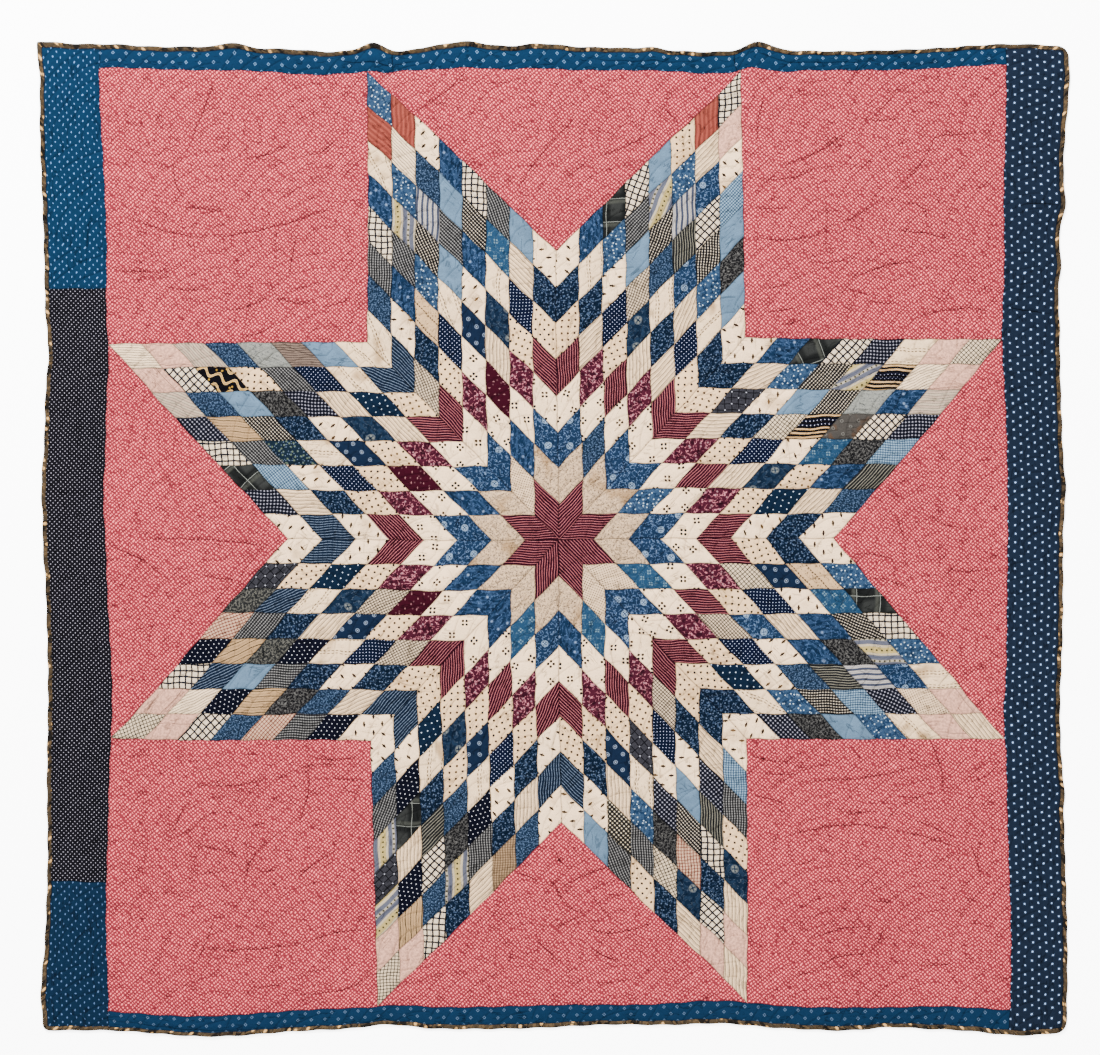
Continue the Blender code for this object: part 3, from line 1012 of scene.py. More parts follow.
@dataclass(frozen=True)
class Print:
    """A printed cotton: its ground and the figures printed on it, in order."""

    name: str
    ground: Dye
    figures: tuple[Figure, ...] = ()
    stains: float = 0.0
    weave: float = 0.16
    mottle: float = 1
    wander: float = 0.7

    def paint(self, loom: Loom) -> Thread:
        """The print's own colour at each place, with its lines a little uneven.

        Args:
            loom: The finish's nodes.

        Returns:
            The colour.
        """
        place = loom.thread("ShaderNodeUVMap", {"uv_map": "Print"}, {})
        along, across = loom.split(place)
        drift = (loom.noise(place, 26) - 0.5) * (2 * self.wander)
        cloth = Cloth(place, along + drift, across - drift)
        colour: Any = TONING.dye(self.ground)
        for figure in self.figures:
            colour = figure.lay(loom, cloth, colour)
        return colour if isinstance(colour, Thread) else loom.scaled(colour, 1.0)


CREAM: Dye = (229, 220, 206)
WARM_CREAM: Dye = (225, 212, 192)
MUSLIN: Dye = (222, 212, 190)
INK: Dye = (34, 32, 36)

PRINTS: dict[str, Print] = {
    "M": Print("madder_pinstripe", (76, 18, 36), (Stripe((220, 172, 174), 4.8, 0.6),), wander=1.0),
    "m": Print("madder_scroll", (106, 34, 56), (Scrolls((214, 168, 176), 9, 0.045, 0.9),
        Leaves((196, 160, 166), 14, 0.13), Leaves((70, 18, 36), 19, 0.2))),
    "1": Print("dark_madder_leaf", (84, 18, 36),
        (Spots((196, 156, 158), (24, 20), 2.4, Motif.SPRIG, 0.8, 5), Leaves((150, 100, 108), 17, 0.08))),
    "n": Print("speckled_beige", (208, 193, 174), (Leaves((84, 66, 50), 3.6, 0.3, 0.8),
        Patches((222, 209, 190), 5, 0.5, 0.1, 0.6)), stains=0.6),
    "o": Print("fine_dotted_beige", (220, 208, 191), (Spots((96, 70, 54), (6.6, 6.6), 1.15),), stains=0.3),
    "B": Print("blue_scroll", (36, 66, 104), (Scrolls((150, 170, 192), 8, 0.04, 0.8),
        Leaves((130, 156, 186), 9, 0.14, 0.7), Spots((196, 206, 214), (74, 60), 5.6, Motif.RING, 0.4, 12),
        Spots((200, 210, 218), (74, 60), 2.0, Motif.FOUR_DOTS, 0.6, 12))),
    "b": Print("blue_wave", (28, 58, 96), (Patches((68, 100, 138), 7, 0.46, 0.08, 0.85, (2.6, 0.8)),
        Leaves((176, 190, 206), 32, 0.07, 0.8), Scrolls((120, 148, 180), 9, 0.035, 0.7))),
    "T": Print("teal_blossom", (54, 98, 134),
        (Spots((184, 202, 206), (30, 26), 2.3, Motif.FOUR_DOTS, 0.42, 9),
        Scrolls((114, 146, 164), 8, 0.035, 0.7))),
    "I": Print("indigo_fleck", (32, 56, 86), (Patches((98, 122, 150), 3.6, 0.44, 0.05, 0.85),
        Leaves((160, 180, 200), 6, 0.12, 0.7))),
    "F": Print("navy_leaf", (16, 34, 60), (Leaves((136, 152, 172), 7.5, 0.17, 0.9),
        Scrolls((104, 128, 158), 8, 0.04, 0.8))),
    "P": Print("bright_blue_blossom", (74, 108, 142), (Patches((36, 70, 112), 9, 0.45, 0.06, 0.9),
        Leaves((212, 218, 222), 10, 0.13, 0.9), Scrolls((140, 162, 180), 8, 0.03, 0.6))),
    "D": Print("navy_pin_dot", (18, 28, 58), (Spots((216, 218, 226), (8.6, 9.4), 0.68),)),
    "d": Print("navy_dot", (20, 42, 70), (Spots((214, 218, 222), (17, 18), 1.15, loose=1.5),)),
    "K": Print("black_dot", (16, 18, 36), (Spots((220, 220, 222), (10.6, 15), 0.88),)),
    "O": Print("navy_ring", (28, 48, 82), (Spots((176, 186, 198), (31, 30), 3.4, Motif.RING, 0.7),
        Spots((200, 204, 208), (31, 30), 1.0))),
    "N": Print("navy_spray", (22, 44, 74), (Patches((48, 76, 108), 10, 0.42, 0.1, 0.75),
        Scrolls((120, 136, 152), 10, 0.03, 0.6), Spots((158, 162, 162), (84, 70), 7, Motif.RING, 0.45, 22),
        Spots((176, 178, 170), (84, 70), 3.2, Motif.FOUR_DOTS, 0.6, 22))),
    "S": Print("navy_broken_stripe", (24, 40, 66), (Stripe((158, 170, 184), 5.0, 0.9),
        Stripe((24, 40, 66), 9, 2.2, crosswise=True, strength=0.5)), wander=1.6),
    "L": Print("light_blue", (146, 170, 186), (Patches((132, 157, 174), 30, 0.5, 0.2, 0.7),)),
    "l": Print("light_blue_check", (174, 192, 202), (Stripe((48, 80, 116), 4.8, 1.8, strength=0.9),
        Stripe((48, 80, 116), 4.8, 1.7, crosswise=True, strength=0.75))),
    "G": Print("navy_gingham", (194, 193, 200), (Stripe((16, 18, 34), 6.6, 4.3, strength=0.97),
        Stripe((16, 18, 34), 6.6, 4.3, crosswise=True, strength=0.95))),
    "g": Print("shepherd_check", (214, 208, 198), (Stripe(INK, 5.4, 3.6, strength=1),
        Stripe(INK, 5.4, 2.8, crosswise=True, strength=0.9))),
    "h": Print("grey_check", (178, 176, 174), (Stripe((30, 30, 34), 5.0, 3.05, strength=0.96),
        Stripe((32, 32, 36), 5.0, 2.3, crosswise=True, strength=0.75))),
    "H": Print("black_check", (222, 217, 205), (Stripe(INK, 6.4, 4.4, strength=0.97),
        Stripe(INK, 6.4, 3.8, crosswise=True, strength=0.95))),
    "k": Print("slate_stripe", (52, 52, 54), (Stripe((176, 172, 158), 5.0, 1.15),
        Stripe((34, 34, 36), 10, 2.2, offset=2.5)), wander=1.2),
    "X": Print("dark_plaid", (70, 72, 70), (Stripe((32, 34, 34), 46, 24, soft=9, strength=0.9),
        Stripe((32, 34, 34), 46, 20, 12, True, 0.8, 9), Stripe((120, 122, 112), 46, 7, 20, True, 0.5, 5),
        Stripe((176, 178, 172), 46, 1.0, 4), Stripe((176, 178, 172), 46, 1.0, 14, True))),
    "W": Print("bold_windowpane", (221, 214, 203), (Stripe((30, 34, 50), 11.9, 3.2),
        Stripe((30, 34, 50), 11.9, 3.0, crosswise=True)), wander=1.4),
    "w": Print("fine_windowpane", (218, 209, 194), (Stripe((46, 50, 56), 6.6, 1.6),
        Stripe((46, 50, 56), 6.6, 1.6, crosswise=True)), wander=1.2),
    "q": Print("hairline_check", (216, 206, 191), (Stripe((52, 46, 46), 5.0, 1.8, strength=0.95),
        Stripe((72, 64, 60), 5.4, 1.6, crosswise=True, strength=0.9))),
    "R": Print("red_windowpane", (214, 195, 178), (Stripe((150, 58, 56), 5.8, 1.6),
        Stripe((160, 76, 70), 6.4, 1.4, crosswise=True, strength=0.9)), stains=0.2),
    "Y": Print("tan_stripe", (206, 184, 152), (Stripe((64, 66, 54), 10.5, 1.6),
        Stripe((190, 164, 128), 10.5, 3.0, 5.2, strength=0.6)), wander=1.6),
    "E": Print("brown_gingham", (196, 174, 146), (Stripe((108, 80, 56), 5.0, 2.4, strength=0.65),
        Stripe((108, 80, 56), 5.0, 2.4, crosswise=True, strength=0.5))),
    "e": Print("brown_ticking", (168, 148, 134), (Stripe((66, 54, 54), 4.6, 1.6, strength=0.8),)),
    "V": Print("lavender_band", (136, 138, 152), (Stripe((206, 198, 182), 42, 21, 0),
        Stripe((206, 194, 152), 42, 12, 0), Stripe((198, 192, 180), 42, 4.5, 21),
        Stripe((120, 124, 142), 42, 2.0, 14), Stripe((120, 124, 142), 42, 2.0, 10.5, strength=0.6),
        Spots((92, 86, 56), (10, 42), 2.0))),
    "Z": Print("blue_awning_stripe", (206, 202, 198), (Stripe((92, 100, 124), 10.4, 5.0, soft=2.4),
        Stripe((136, 140, 156), 10.4, 1.4, 5.2, strength=0.7))),
    "A": Print("black_vine", (18, 16, 24), (Serpent((212, 186, 128), (220, 206, 176), 22, 3.4, 6, 34),
        Leaves((214, 188, 112), 15, 0.12))),
    "J": Print("slate_windowpane", (78, 77, 86), (Leaves((58, 58, 66), 3, 0.3, 0.7),
        Stripe((18, 18, 24), 12, 1.8), Stripe((18, 18, 24), 14, 1.7, crosswise=True),
        Spots((206, 206, 210), (28, 24), 1.2))),
    "x": Print("black_tendril", (32, 31, 34), (Patches((112, 110, 108), 4.2, 0.44, 0.05, 0.85),
        Scrolls((156, 154, 150), 6, 0.035, 0.7))),
    "y": Print("stone_tendril", (52, 53, 54), (Patches((130, 128, 120), 4.6, 0.46, 0.06, 0.9),
        Leaves((172, 170, 158), 6, 0.12, 0.7))),
    "z": Print("bar_and_dot", (22, 24, 48), (Spots((214, 214, 220), (7.6, 8.4), 0.85),
        Stripe((214, 194, 160), 48, 27, 24, soft=0.4), Stripe((18, 16, 22), 8, 4.6)), wander=1.6),
    "U": Print("taupe_sprig", (104, 98, 92), (Patches((132, 98, 72), 30, 0.36, 0.08, 0.8),
        Spots((176, 174, 168), (34, 26), 2.6, Motif.RING, 0.5, 4))),
    "j": Print("bottle_leaf", (28, 48, 68), (Leaves((136, 152, 128), 10, 0.19, 0.85),
        Leaves((146, 162, 180), 7, 0.14, 0.8))),
    "Q": Print("pale_crackle", (178, 178, 172), (Scrolls((104, 108, 112), 6, 0.045, 0.8),
        Stripe((140, 142, 140), 7, 1.0, strength=0.5))),
    "u": Print("shell_stripe", (207, 197, 184), (Stripe((146, 134, 122), 4.8, 1.3, strength=0.8),
        Stripe((202, 182, 170), 9.6, 3, 2, strength=0.5)), wander=1.4),
    "C": Print("four_dot_cream", CREAM, (Spots(INK, (52, 46), 3.7, Motif.FOUR_DOTS, 1, 5),), stains=0.16),
    "t": Print("sprigged_cream", CREAM, (Spots((62, 44, 34), (36, 32), 5.6, Motif.SPRIG, 1, 4),),
        stains=0.4),
    "p": Print("peppered_cream", WARM_CREAM, (Spots(INK, (19, 17), 2.35, loose=1.2),), stains=0.35),
    "s": Print("shirting_stripe", (225, 214, 197), (Stripe((132, 118, 98), 7.0, 1.9, strength=0.8),
        Stripe((166, 152, 132), 7.0, 1.1, 2.4, strength=0.6)), stains=0.2, wander=1.2),
    "f": Print("hairline_cream", (226, 217, 203), (Stripe((112, 104, 96), 4.8, 1.3, strength=0.85),),
        wander=1.2),
    "v": Print("vine_cream", (226, 216, 200), (Stripe((88, 68, 48), 27, 2.2, 2.6, strength=0.9),
        Stripe((88, 68, 48), 27, 1.9, -2.6, strength=0.8),
        Stripe((226, 216, 200), 8, 3.4, crosswise=True, strength=0.85)), stains=0.7, wander=2.8),
    "i": Print("script_beige", (216, 199, 174), (Patches((84, 64, 42), 3.6, 0.36, 0.05, 0.9),
        Stripe((216, 199, 174), 22, 6, 4), Stripe((36, 28, 24), 22, 2.2, 9, soft=1),
        Stripe((216, 199, 174), 6, 2.2, crosswise=True, strength=0.8)), wander=1.5),
    "r": Print("rust_stripe", (192, 108, 94), (Stripe((160, 78, 68), 8.6, 3.6, soft=1.5, strength=0.7),
        Stripe((204, 130, 116), 8.6, 1.2, 4.3, strength=0.6))),
    "a": Print("shell_pink", (222, 200, 187), (Stripe((84, 72, 70), 74, 1.5, 18, strength=0.8),
        Patches((206, 180, 166), 5, 0.5, 0.1, 0.7)), wander=2.0),
}

PINK_PRINT = Print(
    "rose_dotted",
    (193, 86, 98),
    (
        Patches((180, 70, 86), 3.8, 0.4, 0.08, 0.35),
        Spots((238, 188, 190), (8.4, 8.0), 1.5, loose=6, strength=0.85),
    ),
    weave=0.1,
    mottle=0.45,
)
TOP_PRINT = Print(
    "blue_lozenge", (28, 70, 112), (Spots((164, 190, 208), (26, 27), 2.7, Motif.DIAMOND, 0.65),)
)
# A darker copy of the top border's cloth for the bottom border, which paints in the dimmer light toward the
# bottom.
SHADED_BOTTOM_PRINT = Print(
    "shaded_blue_lozenge", (28, 66, 106), (Spots((146, 168, 186), (26, 27), 2.7, Motif.DIAMOND, 0.6),)
)
SPRIGGED_PRINT = Print(
    "navy_bud",
    (34, 49, 74),
    (
        Spots((98, 116, 142), (17, 27), 1.8, Motif.FOUR_DOTS, 0.55, 4),
        Spots((204, 216, 228), (17, 27), 1.6, Motif.DOT, 0.9, 4),
    ),
)
DASHED_PRINT = Print(
    "blue_seed", (28, 70, 110), (Spots((156, 188, 212), (16, 16.5), 1.15, Motif.DASH, 0.9, 7),)
)
# A darker copy of the upper left border's cloth for its lower length, which paints in the dimmer light toward
# the bottom.
SHADED_DASHED_PRINT = Print(
    "shaded_blue_seed", (24, 54, 88), (Spots((138, 166, 194), (16, 16.5), 1.15, Motif.DASH, 0.85, 7),)
)
PIN_DOTTED_PRINT = Print("black_pin_dot", (28, 26, 34), (Spots((200, 198, 204), (9.2, 9.2), 0.86),))
BINDING_PRINT = Print(
    "brown_paisley",
    (110, 90, 66),
    (
        Patches((44, 38, 34), 17, 0.46, 0.03, 1, (1.6, 1)),
        Patches((146, 120, 86), 9, 0.42, 0.04, 0.8),
        Patches((68, 60, 50), 4, 0.4, 0.05, 0.7),
        Leaves((226, 208, 172), 22, 0.14, 0.9),
    ),
    wander=2.0,
)
MUSLIN_PRINT = Print("muslin", MUSLIN, (Patches((206, 194, 168), 90, 0.4, 0.2, 0.5),), stains=0.3)


@dataclass(frozen=True)
class WearAndShade:
    """How washing, fading in the light and dirt change every cotton of the quilt, with shade painted into
    the colour at its seams, quilting rows, creases and wrinkles.
    """

    fade: float = 0.10
    fade_size: float = 170
    blotch: float = 0.11
    blotch_size: float = 17
    slub: float = 0.14
    slub_size: float = 3.4
    # How much the colour is darkened as painted shade at seams, creases, wrinkles and quilting rows, with
    # dirt too along the creases.
    seam_shade: float = 0.55
    seam_reach: float = 2.2
    crease_shade_and_dirt: float = 0.7
    crease_shadow: float = 0.09
    line_edges: Place = (0.35, 1.4)
    crease_shadow_edges: Place = (1, 6)
    wobble: float = 2.6
    wobble_size: float = 15
    wrinkle_shade: float = 0.4
    wrinkle_size: float = 12
    wrinkle_run: float = 4.5
    wrinkle_breaks: float = 24
    row_shade: float = 0.27
    row_edges: Place = (0.4, 1.8)
    stitch_pitch: float = 5
    pucker_size: float = 7
    stain_size: float = 60
    stain_dye: Dye = (184, 150, 104)
    weave_pitch: float = 0.9
    roughness: float = 0.92
    shine: float = 0.02
    bump: float = 0.8
    thread_height: float = 0.3
    row_height: float = 0.9
    pucker_height: float = 1.2
    line_height: float = 0.8
    wrinkle_height: float = 0.7

    def quilting_rows(self, loom: Loom, layout: Thread, quilting: Quilting) -> tuple[Thread, Thread]:
        """Where the rows of quilting run.

        Args:
            loom: The finish's nodes.
            layout: The place in the straight layout.
            quilting: The rows' sizes.

        Returns:
            The distance from the nearest row, and 1 on each stitch along it.
        """
        x, y = loom.split(layout)
        fan = quilting.fan
        across = (1 - loom.math("FRACT", (x - quilting.origin[0]) / fan)) * fan
        up = loom.math("FRACT", (y - quilting.origin[1]) / fan) * fan
        radius = loom.length(across, up)
        row = (radius + quilting.pitch / 2).to_nearest(quilting.pitch)
        arc = loom.math("ARCTAN2", up, across) * radius
        return row, arc.to_nearest(self.stitch_pitch).rise(0.7, 1.1)

    def wrinkles(self, loom: Loom, place: Thread, layout: Thread) -> Thread:
        """Thin broken lines mostly along the grain, where washing has wrinkled the cloth, from 0 to 1.

        Args:
            loom: The finish's nodes.
            place: The place on the cloth.
            layout: The place in the straight layout.

        Returns:
            How deep in a wrinkle each place is.
        """
        bent = loom.noise(place, self.wrinkle_size, 2, (self.wrinkle_run, 1))
        level = loom.math("ABSOLUTE", bent - 0.5)
        broken = loom.noise(layout, self.wrinkle_breaks).rise(0.5, 0.6)
        return level.fall(0.01, 0.04) * broken

    def finish(self, print_: Print, quilting: Quilting) -> bpy.types.Material:
        """Makes the material of one cotton.

        Args:
            print_: The cotton.
            quilting: The rows of quilting through it.

        Returns:
            The material.
        """
        loom = Loom(print_.name)
        layout = loom.attribute("layout", "Vector")
        place = loom.thread("ShaderNodeUVMap", {"uv_map": "Print"}, {})
        colour = print_.paint(loom)
        if print_.stains:
            old = loom.noise(layout, self.stain_size, 2).rise(0.56, 0.76) * print_.stains
            colour = loom.mix(old, colour, TONING.dye(self.stain_dye))
        row, stitch = self.quilting_rows(loom, layout, quilting)
        # Painted shade along each seam, where the cloth dips: darkest on the seam and fading inward; the
        # walls and the underside, where the attribute is 0, get all of it.
        seam = loom.attribute("seam").fall(0.1, self.seam_reach)
        crease = loom.attribute("crease")
        pucker = loom.noise(layout, self.pucker_size, 2)
        wobble = (loom.noise(layout, self.wobble_size) - 0.5) * self.wobble
        away = loom.math("ABSOLUTE", loom.attribute("pinch") + wobble)
        # Painted shade and dirt in a thin line along each crease.
        line = crease * away.fall(*self.line_edges)
        # Painted shadow, soft and wide, beside each crease.
        crease_shadow_mask = crease * away.fall(*self.crease_shadow_edges)
        wrinkle = self.wrinkles(loom, place, layout)
        threads = loom.noise(place, self.weave_pitch, 2)
        shade = 1 + (loom.noise(layout, self.fade_size) - 0.5) * (2 * self.fade)
        blotch, slub = 2 * self.blotch * print_.mottle, 2 * self.slub * print_.mottle
        shade = shade + (loom.noise(layout, self.blotch_size, 2) - 0.5) * blotch
        shade = shade + (loom.noise(layout, self.slub_size) - 0.5) * slub
        shade = shade + (threads - 0.5) * (2 * print_.weave)
        # Painted shade in the valleys of the quilting rows, and a painted soft shadow beside the creases.
        shade = shade - row.fall(*self.row_edges) * self.row_shade - crease_shadow_mask * self.crease_shadow
        # Painted shade at the seams, then painted shade and dirt along the crease lines.
        shade = shade * (1 - seam * self.seam_shade) * (1 - line * self.crease_shade_and_dirt)
        # Painted shade in the wrinkles.
        shade = shade * (1 - wrinkle * self.wrinkle_shade)
        loom.put(loom.shader.inputs["Base Color"], loom.scaled(colour, shade))
        loom.put(loom.shader.inputs["Roughness"], self.roughness)
        loom.put(loom.shader.inputs["Specular IOR Level"], self.shine)
        pull = row.rise(0, 3.5) * (1 - stitch * row.fall(0.3, 1.0) * 0.5)
        height = threads * self.thread_height + pull * self.row_height + pucker * self.pucker_height
        height = height - line * self.line_height - wrinkle * self.wrinkle_height
        bump = {"Height": height, "Strength": self.bump, "Distance": MM}
        loom.put(loom.shader.inputs["Normal"], loom.thread("ShaderNodeBump", None, bump))
        return loom.material


# Pieces


@dataclass(frozen=True)
class Cell:
    """A box of the map that a piece's colours are stored on."""

    left: float
    bottom: float
    width: float
    height: float
    margin: float = 0.004

    def place(self, right: Array, up: Array) -> Array:
        """Where shares of the box's width and height lie on the map."""
        across = self.left + self.margin + right * (self.width - 2 * self.margin)
        high = self.bottom + self.margin + up * (self.height - 2 * self.margin)
        return np.stack([across, high], -1)


@dataclass
class Cut:
    """The face of one cut piece of cloth before it is closed below, in the straight layout."""

    x: Array
    y: Array
    inside: Array
    faces: Array
    slots: Array
    print_map: Array
    bake_map: Array
    rim: Array
    wall_cell: Cell
    back_cell: Cell


@dataclass
class Cutter:
    """Turns cut pieces into closed cloth meshes on the frame."""

    layout: Layout
    relief: Relief
    materials: dict[str, bpy.types.Material] = field(default_factory=dict)
    wear_and_shade: WearAndShade = field(default_factory=WearAndShade)
    crisp_deg: float = 50

    def __post_init__(self) -> None:
        """Finds the middle of the outline, which the frame has at its origin."""
        self.middle = self.layout.middle()

    def material(self, print_: Print) -> bpy.types.Material:
        """The material of a cotton, made once."""
        if print_.name not in self.materials:
            self.materials[print_.name] = self.wear_and_shade.finish(print_, self.relief.quilting)
        return self.materials[print_.name]

    def settled(self, x: Array, y: Array, z: Array) -> Array:
        """Points on the frame, in metres."""
        over, up = self.layout.settle(x, y)
        return np.stack([over - self.middle[0], up - self.middle[1], z], -1) * MM

    def piece(self, name: str, cut: Cut, loft: Loft, prints: Sequence[Print]) -> bpy.types.Object:
        """Makes one piece of cloth, closed down to its flat underside.

        Args:
            name: The piece's name.
            cut: The face of the piece.
            loft: How far it stands up inside its seams.
            prints: The cottons of its faces, by slot.

        Returns:
            The piece.
        """
        height, dark, pinch = self.relief.face(cut.x, cut.y, cut.inside, loft)
        count, around = len(cut.x), len(cut.rim)
        low = count + np.arange(around)
        after = np.roll(cut.rim, -1)
        low_after = np.roll(low, -1)
        walls = np.stack([after, cut.rim, low, low_after], -1)
        faces = cut.faces.tolist() + walls.tolist() + [low[::-1].tolist()]
        x = np.concatenate([cut.x, cut.x[cut.rim]])
        y = np.concatenate([cut.y, cut.y[cut.rim]])
        z = np.concatenate([height, np.zeros(around)])
        mesh = bpy.data.meshes.new(name)
        mesh.from_pydata(self.settled(x, y, z).tolist(), [], faces)
        self.write_maps(mesh, cut, walls, low, x, y)
        values = {"seam": cut.inside, "crease": dark, "pinch": pinch}
        self.write_attributes(mesh, x, y, values)
        for print_ in (*prints, MUSLIN_PRINT):
            mesh.materials.append(self.material(print_))
        slots = np.concatenate([cut.slots, np.full(around, cut.slots[0]), [len(prints)]])
        mesh.polygons.foreach_set("material_index", slots.astype(np.int32))
        mesh.shade_smooth()
        mesh.set_sharp_from_angle(angle=math.radians(self.crisp_deg))
        return self.add(name, mesh)

    def write_maps(
        self, mesh: bpy.types.Mesh, cut: Cut, walls: Array, low: Array, x: Array, y: Array
    ) -> None:
        """Writes the print's map and the map that colours are stored on.

        Args:
            mesh: The piece's mesh.
            cut: The face of the piece.
            walls: Point numbers of the faces round its rim.
            low: Point numbers round its underside.
            x: Places of its points across the quilt.
            y: Places of its points up the quilt.
        """
        around = len(cut.rim)
        layout = np.stack([x, y], -1)
        low_corner, size = layout.min(0), np.ptp(layout, 0)
        share = np.arange(around + 1) / around
        wall_right = np.stack([share[1:], share[:-1], share[:-1], share[1:]], -1)
        wall_up = np.tile([1.0, 1.0, 0.0, 0.0], (around, 1))
        back = (layout[low[::-1]] - low_corner) / size
        back_map = cut.back_cell.place(1 - back[:, 0], back[:, 1])
        wall_map = cut.wall_cell.place(wall_right, wall_up)
        maps = {
            "Print": (cut.print_map, layout[walls], layout[low[::-1]]),
            "OFBake": (cut.bake_map, wall_map, back_map),
        }
        for name, parts in maps.items():
            corners = np.concatenate([part.reshape(-1, 2) for part in parts])
            mesh.uv_layers.new(name=name).data.foreach_set("uv", corners.astype(np.float32).ravel())

    def write_attributes(self, mesh: bpy.types.Mesh, x: Array, y: Array, values: Mapping[str, Array]) -> None:
        """Writes what the finishes read at each point.

        Args:
            mesh: The piece's mesh.
            x: Places of its points across the quilt.
            y: Places of its points up the quilt.
            values: Numbers for its points by attribute, which are 0 for the points that come after.
        """
        layout = np.stack([x, y, np.zeros_like(x)], -1).astype(np.float32)
        mesh.attributes.new("layout", "FLOAT_VECTOR", "POINT").data.foreach_set("vector", layout.ravel())
        for name, value in values.items():
            whole = np.concatenate([value, np.zeros(len(x) - len(value))]).astype(np.float32)
            mesh.attributes.new(name, "FLOAT", "POINT").data.foreach_set("value", whole)

    def add(self, name: str, mesh: bpy.types.Mesh) -> bpy.types.Object:
        """Puts a mesh in the scene as a piece that rides on the quilt.

        Args:
            name: The piece's name.
            mesh: Its mesh.

        Returns:
            The piece.
        """
        piece = bpy.data.objects.new(name, mesh)
        bpy.context.scene.collection.objects.link(piece)
        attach(piece, BODY)
        return piece


def declare(piece: bpy.types.Object, node: str, flat: Place) -> None:
    """Hides the solid that a finished piece takes the place of, and logs how large the piece was cut.

    Args:
        piece: The piece.
        node: The solid that it replaces.
        flat: Its width and length as cut, in millimetres.
    """
    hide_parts(node)
    size = (flat[0] * MM, flat[1] * MM)
    LOG.info("%s: %d points, cut %.0f by %.0f mm", piece.name, len(piece.data.vertices), *flat)


def inside_outline(x: Array, y: Array, corners: Sequence[Place]) -> Array:
    """Distance of each place from the nearest side of a counter-clockwise outline.

    Args:
        x: Places across the quilt.
        y: Places up the quilt.
        corners: The outline.

    Returns:
        The distances, which are 0 outside it.
    """
    nearest = np.full(x.shape, np.inf)
    for number, corner in enumerate(corners):
        start = np.array(corners[number - 1], float)
        side = np.array(corner, float) - start
        side /= np.hypot(*side)
        nearest = np.minimum(nearest, side[0] * (y - start[1]) - side[1] * (x - start[0]))
    return np.maximum(nearest, 0)


def on_quad(corners: Sequence[Place], u: Array, v: Array) -> Array:
    """Places at shares u and v of a four-sided outline, as rows of x and y.

    Args:
        corners: The outline.
        u: Shares along its first side.
        v: Shares up from that side.

    Returns:
        The places.
    """
    first, second, third, fourth = (np.array(corner, float) for corner in corners)
    u, v = u[..., None], v[..., None]
    return (1 - v) * ((1 - u) * first + u * second) + v * ((1 - u) * fourth + u * third)


def grid_faces(columns: int, rows: int) -> Array:
    """Point numbers of the quads of a grid, cell by cell along each row.

    Args:
        columns: How many quads it has across.
        rows: How many it has up.

    Returns:
        Four numbers for each quad.
    """
    across = columns + 1
    first = (np.arange(rows)[:, None] * across + np.arange(columns)).ravel()
    return np.stack([first, first + 1, first + across + 1, first + across], -1)


def grid_rim(columns: int, rows: int) -> Array:
    """Point numbers round a grid, counter-clockwise.

    Args:
        columns: How many quads it has across.
        rows: How many it has up.

    Returns:
        The numbers.
    """
    across = columns + 1
    bottom = np.arange(columns)
    right = columns + across * np.arange(rows)
    top = across * rows + columns - np.arange(columns)
    left = across * (rows - np.arange(rows))
    return np.concatenate([bottom, right, top, left])


def shoelace(corners: Sequence[Place]) -> float:
    """Area of an outline."""
    points = np.array(corners, float)
    after = np.roll(points, -1, 0)
    return abs(float(np.sum(points[:, 0] * after[:, 1] - after[:, 0] * points[:, 1]))) / 2


class Grain(Enum):
    """Which way a diamond's print runs: along its first edge, its second edge or its long diagonal."""

    FIRST = "-"
    SECOND = "|"
    BIAS = "/"


